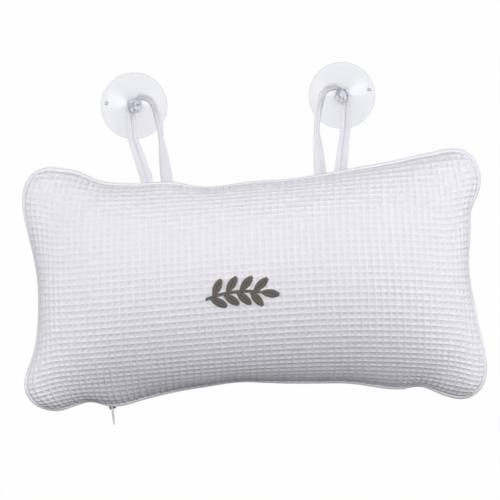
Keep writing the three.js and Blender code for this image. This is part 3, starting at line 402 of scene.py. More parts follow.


# Clear vinyl, moulded soft: see-through, satin on the thin disc, polished where it is thick and tinted
# violet-grey there by its depth, with painted streaks of refracted shade and a ring of painted shade round
# the pip
def clear_vinyl():
    made, tree = material("moulded_clear_vinyl")
    place = node(tree, "ShaderNodeTexCoord")
    ripple = node(tree, "ShaderNodeTexNoise", {
        "Vector": place.outputs["Object"], "Scale": 1 / (VINYL_RIPPLE * MM), "Detail": 1.0})
    bump = node(tree, "ShaderNodeBump", {
        "Height": ripple.outputs["Fac"], "Distance": VINYL_RELIEF * MM, "Strength": 0.25})
    polish = node(tree, "ShaderNodeAttribute", attribute_name="polish")
    rough = node(tree, "ShaderNodeMapRange", {"Value": polish.outputs["Fac"], "To Min": 0.24, "To Max": 0.06})
    # painted shade round the pip: a ring that is darker and less clear
    pip_shade = node(tree, "ShaderNodeAttribute", attribute_name="pip_shade")
    clear = node(tree, "ShaderNodeMapRange", {"Value": pip_shade.outputs["Fac"], "To Min": 0.93, "To Max": 0.3})
    # painted streaks of refracted shade on the thick neck and head
    refraction_streaks = node(tree, "ShaderNodeTexNoise", {
        "Vector": place.outputs["Object"], "Scale": 1 / (VINYL_STREAKS * MM), "Detail": 2.0, "Distortion": 1.2})
    marks = node(tree, "ShaderNodeMapRange", {
        "Value": refraction_streaks.outputs["Fac"], "From Min": 0.42, "From Max": 0.56})
    thick = node(tree, "ShaderNodeMath", {0: marks.outputs[0], 1: polish.outputs["Fac"]},
                 operation="MULTIPLY")
    streaked_tone = node(tree, "ShaderNodeMix", {
        "Factor": thick.outputs[0], 6: linear("#f6f7fb"), 7: linear("#8e8b9f")}, data_type="RGBA")
    colour = node(tree, "ShaderNodeMix", {
        "Factor": pip_shade.outputs["Fac"], 6: streaked_tone.outputs[2], 7: linear("#9090a0")}, data_type="RGBA")
    shader = node(tree, "ShaderNodeBsdfPrincipled", {
        "Base Color": colour.outputs[2], "Normal": bump.outputs[0], "Roughness": rough.outputs[0],
        "IOR": 1.53, "Transmission Weight": clear.outputs[0]})
    depth = node(tree, "ShaderNodeVolumeAbsorption", {"Color": linear("#a6a6bd"), "Density": 22.0})
    node(tree, "ShaderNodeOutputMaterial", {"Surface": shader.outputs[0], "Volume": depth.outputs[0]})
    return made


# Rayon embroidery thread: a soft shine along the stitch, with painted shade where it dips into the cloth
def rayon_thread():
    made, tree = material("rayon_thread")
    place = node(tree, "ShaderNodeTexCoord")
    dye = node(tree, "ShaderNodeTexNoise", {
        "Vector": place.outputs["Object"], "Scale": 1 / (DYE_FLECK * MM), "Detail": 2.0})
    bump = node(tree, "ShaderNodeBump", {
        "Height": dye.outputs["Fac"], "Distance": DYE_RELIEF * MM, "Strength": 0.4})
    thread = node(tree, "ShaderNodeMix", {
        "Factor": dye.outputs["Fac"], 6: linear("#4b4640"), 7: linear("#877f76")}, data_type="RGBA")
    # painted shade towards each stitch's ends, where it turns down into the cloth
    dip = node(tree, "ShaderNodeAttribute", attribute_name="dip")
    colour = node(tree, "ShaderNodeMix", {
        "Factor": dip.outputs["Fac"], 6: thread.outputs[2], 7: linear("#26221f")}, data_type="RGBA")
    shader = node(tree, "ShaderNodeBsdfPrincipled", {
        "Base Color": colour.outputs[2], "Normal": bump.outputs[0], "Roughness": 0.36, "IOR": 1.5,
        "Sheen Weight": 0.25})
    node(tree, "ShaderNodeOutputMaterial", {"Surface": shader.outputs[0]})
    return made


# Polyester zip tape, knitted: fine slanting ribs
def zip_polyester():
    made, tree = material("knitted_polyester_tape")
    place = node(tree, "ShaderNodeTexCoord")
    ribs = node(tree, "ShaderNodeTexWave", {
        "Vector": place.outputs["Object"], "Scale": wave_scale(KNIT_SPACING * MM), "Distortion": 0.4,
        "Detail": 1.0}, bands_direction="DIAGONAL")
    bump = node(tree, "ShaderNodeBump", {
        "Height": ribs.outputs["Fac"], "Distance": KNIT_RELIEF * MM, "Strength": 0.6})
    colour = node(tree, "ShaderNodeMix", {
        "Factor": ribs.outputs["Fac"], 6: linear("#dedee3"), 7: linear("#f0f0f4")}, data_type="RGBA")
    shader = node(tree, "ShaderNodeBsdfPrincipled", {
        "Base Color": colour.outputs[2], "Normal": bump.outputs[0], "Roughness": 0.78, "IOR": 1.5})
    node(tree, "ShaderNodeOutputMaterial", {"Surface": shader.outputs[0]})
    return made


# Nylon, moulded: smooth, slightly waxy, milky white
def moulded_nylon():
    made, tree = material("moulded_nylon")
    place = node(tree, "ShaderNodeTexCoord")
    milk = node(tree, "ShaderNodeTexNoise", {
        "Vector": place.outputs["Object"], "Scale": 1 / (NYLON_CLOUD * MM)})
    colour = node(tree, "ShaderNodeMix", {
        "Factor": milk.outputs["Fac"], 6: linear("#dcdce0"), 7: linear("#ecebf0")}, data_type="RGBA")
    shader = node(tree, "ShaderNodeBsdfPrincipled", {
        "Base Color": colour.outputs[2], "Roughness": 0.38, "IOR": 1.53, "Subsurface Weight": 0.1,
        "Subsurface Radius": [NYLON_GLOW * MM] * 3})
    node(tree, "ShaderNodeOutputMaterial", {"Surface": shader.outputs[0]})
    return made


# Zinc, die-cast, tumbled and plated: satin grey metal with fine marks, darker where it is gunmetal plate
def plated_zinc(name, dark, light):
    made, tree = material(name)
    place = node(tree, "ShaderNodeTexCoord")
    marks = node(tree, "ShaderNodeTexNoise", {
        "Vector": place.outputs["Object"], "Scale": 1 / (ZINC_MARK * MM), "Detail": 3.0})
    rough = node(tree, "ShaderNodeMapRange", {"Value": marks.outputs["Fac"], "To Min": 0.26, "To Max": 0.44})
    bump = node(tree, "ShaderNodeBump", {
        "Height": marks.outputs["Fac"], "Distance": ZINC_RELIEF * MM, "Strength": 0.5})
    colour = node(tree, "ShaderNodeMix", {
        "Factor": marks.outputs["Fac"], 6: linear(dark), 7: linear(light)}, data_type="RGBA")
    shader = node(tree, "ShaderNodeBsdfPrincipled", {
        "Base Color": colour.outputs[2], "Normal": bump.outputs[0], "Roughness": rough.outputs[0],
        "Metallic": 1.0})
    node(tree, "ShaderNodeOutputMaterial", {"Surface": shader.outputs[0]})
    return made


WAFFLE = waffle_cotton()
BIAS = bias_cotton()
TWILL = twill_tape()
VINYL = clear_vinyl()
THREAD = rayon_thread()
ZIP_CLOTH = zip_polyester()
NYLON = moulded_nylon()
GUNMETAL = plated_zinc("gunmetal_plated_zinc", "#4a4a4f", "#7c7c81")
NICKEL = plated_zinc("nickel_plated_zinc", "#a4a4a8", "#e4e4e8")


def mesh_object(name, points, faces, finish=None):
    """A smooth-shaded object at the origin from points in millimetres."""
    mesh = bpy.data.meshes.new(name)
    mesh.from_pydata((np.asarray(points, float) * MM).tolist(), [], faces)
    if finish:
        mesh.materials.append(finish)
    mesh.polygons.foreach_set("use_smooth", [True] * len(mesh.polygons))
    mesh.update()
    made = bpy.data.objects.new(name, mesh)
    bpy.context.scene.collection.objects.link(made)
    return made


def set_uv(obj, name, per_point):
    """A UV map from one pair of numbers for each point."""
    layer = obj.data.uv_layers.new(name=name)
    corners = np.zeros(len(obj.data.loops), np.int32)
    obj.data.loops.foreach_get("vertex_index", corners)
    layer.data.foreach_set("uv", np.asarray(per_point, np.float32)[corners].ravel())


def smooth_step(low, high, value):
    """Rises smoothly from 0 at a low value to 1 at a high one."""
    t = np.clip((value - low) / (high - low), 0, 1)
    return t * t * (3 - 2 * t)


def through_points(points, closed=False, samples=14):
    """A smooth line through points: a centripetal spline with a number of samples for each stretch."""
    p = np.asarray(points, float)
    p = np.vstack([p[-1], p, p[0], p[1]]) if closed else np.vstack([2 * p[0] - p[1], p, 2 * p[-1] - p[-2]])
    line = []
    for p0, p1, p2, p3 in zip(p, p[1:], p[2:], p[3:]):
        pairs = ((p0, p1), (p1, p2), (p2, p3))
        t1, t2, t3 = np.cumsum([math.sqrt(np.linalg.norm(b - a)) for a, b in pairs])
        for s in np.linspace(t1, t2, samples, endpoint=False):
            a1 = ((t1 - s) * p0 + s * p1) / t1
            a2 = ((t2 - s) * p1 + (s - t1) * p2) / (t2 - t1)
            a3 = ((t3 - s) * p2 + (s - t2) * p3) / (t3 - t2)
            b1 = ((t2 - s) * a1 + s * a2) / t2
            b2 = ((t3 - s) * a2 + (s - t1) * a3) / (t3 - t1)
            line.append(((t2 - s) * b1 + (s - t1) * b2) / (t2 - t1))
    if not closed:
        line.append(p[-2])
    return np.array(line)


def lengths(line):
    """Distance along a line to each of its points."""
    return np.concatenate([[0], np.cumsum(np.linalg.norm(np.diff(line, axis=0), axis=1))])


def along(line, share):
    """Points of a line at shares of its length."""
    at = lengths(line)
    return np.stack([np.interp(share * at[-1], at, line[:, k]) for k in range(line.shape[1])], axis=-1)


def outline():
    """The pillow's outline over its piping, as one smooth closed line that runs counter-clockwise."""
    sides = [BOTTOM_SIDE, RIGHT_SIDE, TOP_SIDE[::-1], LEFT_SIDE[::-1]]
    line = through_points([point for side in sides for point in side[:-1]], closed=True)
    line = along(np.vstack([line, line[:1]]), np.linspace(0, 1, OUTLINE_STEPS, endpoint=False))
    reach = np.arange(-EASE_STEPS, EASE_STEPS + 1)
    weights = np.exp(-(reach / EASE_SPREAD) ** 2 / 2)
    return sum(np.roll(line, k, axis=0) * w for k, w in zip(reach, weights / weights.sum()))


def inset(line, depth):
    """A closed counter-clockwise line moved inwards."""
    way = np.roll(line, -SLOPE_STEPS, axis=0) - np.roll(line, SLOPE_STEPS, axis=0)
    way /= np.linalg.norm(way, axis=1)[:, None]
    return line + depth * np.stack([-way[:, 1], way[:, 0]], axis=1)


def four_sides(line):
    """A closed line cut at the pillow's corners: bottom and top from the left, left and right from below."""
    def nearest(point):
        return int(np.argmin(np.linalg.norm(line - np.array(point), axis=1)))

    cuts = [nearest(point) for point in (BOTTOM_SIDE[0], BOTTOM_SIDE[-1], TOP_SIDE[-1], TOP_SIDE[0])]
    parts = []
    for start, end in zip(cuts, cuts[1:] + cuts[:1]):
        count = (end - start) % len(line)
        parts.append(line[np.arange(start, start + count + 1) % len(line)])
    return parts[0], parts[1], parts[2][::-1], parts[3][::-1]


def eased(side):
    """A side without its small waves: the cubic curve between its ends that fits it best."""
    share = np.linspace(0, 1, len(side))
    straight = side[0] + share[:, None] * (side[-1] - side[0])
    bows = np.stack([share * (1 - share), share ** 2 * (1 - share)], axis=1)
    return straight + bows @ np.linalg.lstsq(bows, side - straight, rcond=None)[0]


def between(sides, u, v):
    """Places between four sides, for shares of the way from left to right and from bottom to top."""
    bottom, right, top, left = sides
    a, b = u[..., None], v[..., None]
    corners = (1 - a) * (1 - b) * bottom[0] + a * (1 - b) * bottom[-1]
    corners += (1 - a) * b * top[0] + a * b * top[-1]
    across = (1 - b) * along(bottom, u) + b * along(top, u)
    return across + (1 - a) * along(left, v) + a * along(right, v) - corners


def front_across(v):
    """The front's height from one long edge to the other, as a share of its crown: an arc of a circle."""
    low = math.cos(FRONT_ARC)
    return (np.sqrt(1 - (math.sin(FRONT_ARC) * v) ** 2) - low) / (1 - low)


def back_across(v):
    """The back's depth in the same way: flatter, because the pillow lies on it."""
    box = np.sqrt(np.clip(1 - np.abs(v) ** BACK_POWER, 0, 1))
    return BACK_FULL * box + (1 - BACK_FULL) * (1 - v ** 2)


def rise_along(u):
    """The height or depth from end to end."""
    box = np.sqrt(np.clip(1 - u ** END_POWER, 0, 1))
    return END_FULL * box + (1 - END_FULL) * (1 - u ** DOME_POWER)


def even_cells(rise, half, count):
    """Shares from -1 to 1 that cut the cloth over a rise into cells of one size."""
    share = np.sin(np.linspace(-math.pi / 2, math.pi / 2, ARC_STEPS))
    at = lengths(np.stack([half * share, FRONT_CROWN * rise(share)], axis=1))
    return np.interp(np.linspace(0, at[-1], count + 1), at, share)


def plan_grid(sides):
    """Places of the cloth's cell corners in plan, with the shares from -1 to 1 that they lie at."""
    i, j = np.meshgrid(np.arange(CELLS_LONG + 1), np.arange(CELLS_WIDE + 1), indexing="ij")
    from_ends, from_edges = np.minimum(i, CELLS_LONG - i), np.minimum(j, CELLS_WIDE - j)
    even_u = even_cells(rise_along, HALF_LENGTH, CELLS_LONG)[:, None]
    seam_u = np.sin(LONG_BEND * (2 * i / CELLS_LONG - 1)) / math.sin(LONG_BEND)
    u = seam_u + (even_u - seam_u) * smooth_step(0, SEAM_CELLS, from_edges)
    t = 2 * j / CELLS_WIDE - 1
    middle_v = np.sin(FRONT_ARC * t) / math.sin(FRONT_ARC)
    closed_up = np.where(t < 0, BOTTOM_CLOSE, TOP_CLOSE) * t ** 3 / 3
    end_v = 2 * (t - closed_up + 1 - BOTTOM_CLOSE / 3) / (2 - (BOTTOM_CLOSE + TOP_CLOSE) / 3) - 1
    v = middle_v + (end_v - middle_v) * np.minimum(1, (u / END_SHARE) ** 2)
    edge = between(sides, (u + 1) / 2, (v + 1) / 2)
    middle = between([eased(side) for side in sides], (u + 1) / 2, (v + 1) / 2)
    inside = smooth_step(0, WAVE_CELLS, np.minimum(from_ends, from_edges))[..., None]
    return edge + (middle - edge) * inside, u, v


def first_shape(sides):
    """Front and back of the filled cover before the cloth is simulated."""
    plan, u, v = plan_grid(sides)
    lengthwise = rise_along(u)

    def swell(across):
        return across * lengthwise / np.maximum(across + lengthwise - across * lengthwise, TINY)

    front = np.dstack([plan, SEAM_HEIGHT + FRONT_CROWN * swell(front_across(v))])
    back = np.dstack([plan, SEAM_HEIGHT - BACK_CROWN * swell(back_across(v))])
    return front, back


def is_rim(shape):
    """Which points of a grid lie on its edge."""
    rim = np.zeros(shape, bool)
    rim[[0, -1], :] = True
    rim[:, [0, -1]] = True
    return rim


def quads(index):
    """Faces between the neighbours of a grid of points, given by their numbers."""
    return np.stack([index[:-1, :-1], index[1:, :-1], index[1:, 1:], index[:-1, 1:]], axis=-1).reshape(-1, 4)


def two_sided(front, back):
    """Points and faces of a closed bag from two grids that share their rim."""
    rows, columns = front.shape[:2]
    rim = is_rim((rows, columns))
    upper = np.arange(rows * columns).reshape(rows, columns)
    lower = upper.copy()
    lower[~rim] = rows * columns + np.arange((~rim).sum())
    points = np.vstack([front.reshape(-1, 3), back[~rim]])
    faces = np.vstack([quads(upper), quads(lower)[:, ::-1]])
    return points, faces, upper, lower


def filled(front, back):
    """The cover after its fill has pressed it out: cloth cut flat, sewn at the rim, under pressure."""
    points, faces, upper, lower = two_sided(front, back)
    bag = mesh_object("cover_bag", points, faces.tolist())
    i, j = np.meshgrid(np.arange(CELLS_LONG + 1), np.arange(CELLS_WIDE + 1), indexing="ij")
    x = (i / CELLS_LONG - 0.5) * CUT_LENGTH
    y = (j / CELLS_WIDE - 0.5) * CUT_WIDTH
    flat = np.dstack([x, y, np.full(i.shape, SEAM_HEIGHT)])
    cut, _, _, _ = two_sided(flat, flat)
    bag.shape_key_add(name="filled")
    key = bag.shape_key_add(name="flat_cut")
    key.data.foreach_set("co", (cut * MM).ravel())
    key.value = 0.0
    seam = bag.vertex_groups.new(name="seam")
    seam.add(upper[is_rim(upper.shape)].tolist(), 1.0, "REPLACE")
    cloth = bag.modifiers.new("fill", "CLOTH")
    settings = cloth.settings
    settings.quality = 7
    settings.mass = 0.15
    settings.tension_stiffness = settings.compression_stiffness = 30
    settings.shear_stiffness = 6
    settings.bending_stiffness = 1.5
    settings.tension_damping = settings.compression_damping = 20
    settings.air_damping = 4
    settings.vertex_group_mass = "seam"
    settings.rest_shape_key = key
    settings.use_pressure = True
    settings.uniform_pressure_force = 4
    settings.effector_weights.gravity = 0
    cloth.point_cache.frame_start = 1
    cloth.point_cache.frame_end = FILL_FRAMES
    scene = bpy.context.scene
    for step in range(1, FILL_FRAMES + 1):
        scene.frame_set(step)
    shown = bag.evaluated_get(bpy.context.evaluated_depsgraph_get()).data
    moved = np.zeros(len(points) * 3, np.float32)
    shown.vertices.foreach_get("co", moved)
    moved = moved.reshape(-1, 3) / MM
    scene.frame_set(1)
    bpy.data.objects.remove(bag)
    swollen = []
    for grid, index in ((front, upper), (back, lower)):
        normal = grid_normals(grid)
        out = np.sum((moved[index] - grid) * normal, axis=2, keepdims=True)
        swollen.append(grid + normal * np.clip(out, -FILL_REACH, FILL_REACH))
    return swollen


def softened(grid, rounds):
    """A grid with its inner points eased towards their neighbours."""
    for _ in range(rounds):
        mean = (grid[:-2, 1:-1] + grid[2:, 1:-1] + grid[1:-1, :-2] + grid[1:-1, 2:]) / 4
        grid = grid.copy()
        grid[1:-1, 1:-1] += (mean - grid[1:-1, 1:-1]) / 2
    return grid


def refined(grid, axis):
    """A grid with more points along one axis, on smooth lines through the old ones."""
    grid = np.moveaxis(grid, axis, 0)
    cells = len(grid) - 1
    padded = np.concatenate([2 * grid[:1] - grid[1:2], grid, 2 * grid[-1:] - grid[-2:-1]])
    at = np.append((np.arange(cells)[:, None] + np.array(CELL_SAMPLES)).ravel(), cells)
    k = np.minimum(at.astype(int), cells - 1)
    f = (at - k)[:, None, None]
    p0, p1, p2, p3 = padded[k], padded[k + 1], padded[k + 2], padded[k + 3]
    bend = 2 * p0 - 5 * p1 + 4 * p2 - p3 + f * (3 * (p1 - p2) + p3 - p0)
    return np.moveaxis(p1 + 0.5 * f * (p2 - p0 + f * bend), 0, axis), at


def grid_normals(grid):
    """Upward normals of a grid."""
    way = np.cross(np.gradient(grid, axis=0), np.gradient(grid, axis=1))
    return way / np.maximum(np.linalg.norm(way, axis=2, keepdims=True), TINY)


def zip_point(length, out):
    """A place on the zip's arc: the distance along it from the middle, and out from the panels' rim."""
    turn = np.asarray(length) / (ZIP_RIM_RADIUS - ZIP_OUT)
    radius = ZIP_RIM_RADIUS - np.asarray(out)
    return radius * np.sin(turn), ZIP_CENTRE_Y + radius * np.cos(turn)


def along_zip(x, start, whole):
    """Share that a place along the pillow belongs to the zip: starts and is whole so far beyond its tapes."""
    left = smooth_step(ZIP_TAPE_START - start, ZIP_TAPE_START - whole, x)
    return left * smooth_step(-ZIP_TAPE_END - start, -ZIP_TAPE_END - whole, -x)


def behind_zip(back):
    """The back drawn in to stand just behind the zip."""
    shaped = back.copy()
    for j, share, height in ZIP_ROWS:
        x = back[:, j, 0]
        _, y = zip_point(x, ZIP_BACK_OUT)
        ease = along_zip(x, *ZIP_BLEND) * share
        gap = y - back[:, j, 1]
        if height:
            shaped[:, j, 1] += ease * gap
            shaped[:, j, 2] += ease * (height - back[:, j, 2])
        else:
            shaped[:, j, 1] += ease * ZIP_ROW_GIVE * np.minimum(0, gap)
    return shaped


def ridge(at):
    """Height of the ridges that run along the borders between cells, as a share."""
    return 1 - smooth_step(0, RIDGE_REACH, np.abs(at - np.round(at)))


def waffle_relief(i, j):
    """The waffle's height at places counted in cells, and the share of it that is kept near the seam."""
    from_ends, from_edges = np.minimum(i, CELLS_LONG - i), np.minimum(j, CELLS_WIDE - j)
    pulled = (1 - smooth_step(*PULL_ROWS, j)) * smooth_step(*PULL_ENDS, from_ends)
    height = np.maximum(ridge(i), CROSS_RIDGE * (1 - BOTTOM_PULL * pulled) * ridge(j))
    return height, smooth_step(0, RIM_CELLS, np.minimum(from_ends, from_edges))


def on_table(back):
    """The back flattened out where it lies on the table."""
    rest = RIDGE_HEIGHT + TABLE_GAP
    height = back[..., 2]
    lifted = rest + TABLE_SOFTNESS * np.logaddexp(0, (height - rest) / TABLE_SOFTNESS)
    return np.dstack([back[..., :2], np.where(is_rim(height.shape), height, lifted)])


def cover():
    """The filled waffle cover, front and back in one closed piece, and its front face without the waffle."""
    line = inset(outline(), PIPING_DIAMETER / 2)
    front, back = first_shape(four_sides(line))
    front, back = filled(front, back)
    front, back = softened(front, SOFTEN_ROUNDS), softened(back, SOFTEN_ROUNDS)
    back = behind_zip(on_table(back))
    fine, ridges, bases = [], [], []
    for grid, way in ((front, 1), (back, -1)):
        grid, at_long = refined(grid, 0)
        grid, at_wide = refined(grid, 1)
        i, j = np.meshgrid(at_long, at_wide, indexing="ij")
        height, kept = waffle_relief(i, j)
        if way < 0:
            flat = (1 - smooth_step(*ZIP_FLAT_ROWS, j)) * along_zip(grid[..., 0], *ZIP_FLAT_BLEND)
            kept = kept * (1 - ZIP_FLATNESS * flat)
        bases.append(grid)
        fine.append(grid + grid_normals(grid) * (way * RIDGE_HEIGHT * height * kept)[..., None])
        # painted pit shade: 1 on the ridges and low in the pits, fading out near the seam where the relief
        # does
        ridges.append(np.where(kept > PIT_KEPT, height, 1 - kept * (1 - height)))
    points, faces, upper, lower = two_sided(*fine)
    made = mesh_object("waffle_cover", points, faces.tolist(), WAFFLE)
    weave = np.zeros((len(points), 2))
    pit_shade_at = np.zeros(len(points), np.float32)
    for index, height in ((lower, ridges[1]), (upper, ridges[0])):
        weave[index] = np.dstack([i, j])
        pit_shade_at[index] = height
    set_uv(made, "weave", weave)
    made.data.attributes.new("ridge", "FLOAT", "POINT").data.foreach_set("value", pit_shade_at)
    return made, bases[0]


def run_tree(obj, tree, values):
    """Runs a geometry tree on an object and keeps its result as a plain mesh."""
    step = obj.modifiers.new("make", "NODES")
    step.node_group = tree
    for item in tree.interface.items_tree:
        if item.in_out == "INPUT" and item.name in values:
            step[item.identifier] = values[item.name]
    shown = obj.evaluated_get(bpy.context.evaluated_depsgraph_get())
    mesh = bpy.data.meshes.new_from_object(shown)
    obj.modifiers.remove(step)
    obj.data = mesh
    return obj


def tree_named(name, inputs):
    """A geometry tree with a mesh going in and out, and named inputs."""
    tree = bpy.data.node_groups.new(name, "GeometryNodeTree")
    tree.interface.new_socket("Geometry", in_out="INPUT", socket_type="NodeSocketGeometry")
    for label, kind in inputs.items():
        tree.interface.new_socket(label, in_out="INPUT", socket_type=kind)
    tree.interface.new_socket("Geometry", in_out="OUTPUT", socket_type="NodeSocketGeometry")
    return tree, tree.nodes.new("NodeGroupInput").outputs


def end_tree(tree, geometry, finish):
    """Ends a tree in a real mesh with a material."""
    real = node(tree, "GeometryNodeRealizeInstances", {"Geometry": geometry})
    painted = node(tree, "GeometryNodeSetMaterial", {"Geometry": real.outputs[0], "Material": finish})
    node(tree, "NodeGroupOutput", {"Geometry": painted.outputs[0]})
    return tree


def round_on_path():
    """A round thread or cord along each line of a mesh of edges."""
    tree, given = tree_named("round_on_path", {
        "Diameter": "NodeSocketFloat", "Sides": "NodeSocketInt", "Finish": "NodeSocketMaterial"})
    path = node(tree, "GeometryNodeMeshToCurve", {"Mesh": given["Geometry"]})
    radius = node(tree, "ShaderNodeMath", {0: given["Diameter"], 1: 0.5}, operation="MULTIPLY")
    ring = node(tree, "GeometryNodeCurvePrimitiveCircle", {
        "Resolution": given["Sides"], "Radius": radius.outputs[0]})
    tube = node(tree, "GeometryNodeCurveToMesh", {
        "Curve": path.outputs[0], "Profile Curve": ring.outputs[0], "Fill Caps": True})
    smooth = node(tree, "GeometryNodeSetShadeSmooth", {"Geometry": tube.outputs[0]})
    return end_tree(tree, smooth.outputs[0], given["Finish"])


def blocks_on_path():
    """Small blocks along a line, one for each step of its length, turned to follow it."""
    tree, given = tree_named("blocks_on_path", {
        "Step": "NodeSocketFloat", "Size": "NodeSocketVector", "Finish": "NodeSocketMaterial"})
    path = node(tree, "GeometryNodeMeshToCurve", {"Mesh": given["Geometry"]})
    spots = node(tree, "GeometryNodeResampleCurve", {"Curve": path.outputs[0], "Length": given["Step"]},
                 mode="LENGTH")
    way = node(tree, "GeometryNodeInputTangent")
    turn = node(tree, "FunctionNodeAlignRotationToVector", {"Vector": way.outputs[0]},
                axis="X", pivot_axis="Z")
    tooth = node(tree, "GeometryNodeMeshCube", {"Size": given["Size"]})
    placed = node(tree, "GeometryNodeInstanceOnPoints", {
        "Points": spots.outputs[0], "Instance": tooth.outputs[0], "Rotation": turn.outputs[0]})
    return end_tree(tree, placed.outputs[0], given["Finish"])


ROUND = round_on_path()
BLOCKS = blocks_on_path()


def edge_lines(name, lines, closed=False):
    """A mesh of edges from lines of points in millimetres."""
    points = np.vstack(lines)
    edges, start = [], 0
    for line in lines:
        index = np.arange(start, start + len(line))
        edges += np.stack([index[:-1], index[1:]], axis=1).tolist()
        if closed:
            edges.append([int(index[-1]), int(index[0])])
        start += len(line)
    mesh = bpy.data.meshes.new(name)
    mesh.from_pydata((points * MM).tolist(), edges, [])
    made = bpy.data.objects.new(name, mesh)
    bpy.context.scene.collection.objects.link(made)
    return made


def piping():
    """The piping: a round bead along the whole seam."""
    line = inset(outline(), PIPING_DIAMETER / 2)[::PIPING_STEP]
    path = np.column_stack([line, np.full(len(line), SEAM_HEIGHT)])
    made = edge_lines("piping_bead", [path], closed=True)
    return run_tree(made, ROUND, {"Diameter": PIPING_DIAMETER * MM, "Sides": PIPING_SIDES, "Finish": BIAS})


def ring_faces(rings):
    """Numbers of the points on equal rings, and the faces that join each ring to the next."""
    steps, count = rings.shape[:2]
    index = np.arange(steps * count).reshape(steps, count)
    around = np.roll(index, -1, axis=1)
    faces = np.stack([index[:-1], around[:-1], around[1:], index[1:]], axis=-1).reshape(-1, 4)
    return index, faces.tolist()


def loft(name, rings, finish, uv=None):
    """A body from rings of points; its ends are closed."""
    rings = np.asarray(rings, float)
    index, faces = ring_faces(rings)
    faces += [index[0, ::-1].tolist(), index[-1].tolist()]
    made = mesh_object(name, rings.reshape(-1, 3), faces, finish)
    if uv is not None:
        set_uv(made, "weave", np.asarray(uv).reshape(-1, 2) * MM)
    return made


def tape_route(loop):
    """The tape's middle line from its outer sewn end, round the cup's neck and back by a slack bow."""
    fold, way = np.array([*loop["fold"], FOLD_HEIGHT]), np.array([*loop["along"], 0])
    away = np.array([-way[1], way[0], 0])
    outward = loop["outward"] * way
    up = np.array([0, 0, 1])
    neck = np.array([*loop["cup"], NECK_MIDDLE])
    ends = [fold + sign * outward * TAPE_END_SPACING / 2 for sign in (1, -1)]

    def near_neck(out, on, rise):
        return neck + out * outward + on * away + rise * up

    def sagging(start, end):
        return [start + (end - start) * share - TAPE_SAG * up for share in SAG_SHARES]

    outer = [near_neck(*point) for point in OUTER_STRAND]
    inner = [near_neck(*point) for point in INNER_STRAND]
    turns = np.radians(NECK_TURNS)
    hug = [near_neck(HUG_RADIUS * math.cos(turn), HUG_RADIUS * math.sin(turn), 0) for turn in turns]
    route = [ends[0] - TAPE_TAIL * away, ends[0], *sagging(ends[0], outer[0]), *outer, *hug,
             *inner, *sagging(inner[-1], ends[1]), ends[1], ends[1] - TAPE_TAIL * away]
    return np.array(route), away


def tape(name, loop):
    """A woven tape: flat where it is sewn, creased along its middle, and on edge round the cup's neck."""
    line, out = tape_route(loop)
    line = along(through_points(line), np.linspace(0, 1, TAPE_STEPS))
    from_neck = np.linalg.norm(line[:, :2] - np.array(loop["cup"]), axis=1)
    outer = np.arange(len(line)) <= int(np.argmin(from_neck))

    def by_distance(taut, slack):
        return np.where(outer, np.interp(from_neck, *zip(*taut)), np.interp(from_neck, *zip(*slack)))

    twist = np.radians(by_distance(TAUT_LEAN, SLACK_LEAN))
    half = by_distance(TAUT_WIDTH, SLACK_WIDTH) / 2
    crease = by_distance(TAUT_CREASE, SLACK_CREASE)
    at = lengths(line)
    across = np.array(TAPE_ACROSS)
    thick = TAPE_THICKNESS / 2 * (1 - EDGE_THINNING * np.abs(across) ** EDGE_POWER)
    groove = np.exp(-((across - GROOVE_AT) / GROOVE_SPREAD) ** 2)
    rings, uv = [], []
    for k, centre in enumerate(line):
        run = line[min(len(line) - 1, k + 1)] - line[max(0, k - 1)]
        run /= np.linalg.norm(run)
        level = loop["outward"] * np.cross(run, (0, 0, 1))
        flat = level / np.linalg.norm(level) * math.cos(twist[k]) + np.array([0, 0, math.sin(twist[k])])
        flat -= run * (flat @ run)
        flat /= np.linalg.norm(flat)
        face = np.cross(run, flat)
        ripple = RIPPLE_HEIGHT * np.sin(at[k] / RIPPLE_LENGTH + across * RIPPLE_SLANT)
        dip = -loop["outward"] * (crease[k] * (CREASE_RISE * np.abs(across) - groove) + ripple)
        where = np.concatenate([across, across[::-1]])
        depth = np.concatenate([dip + thick, (dip - thick)[::-1]])
        rings.append(centre + flat * (where * half[k])[:, None] + face * depth[:, None])
        uv.append([(at[k], a * TAPE_WIDTH / 2) for a in where])
    return loft(name, rings, TWILL, uv), line, out


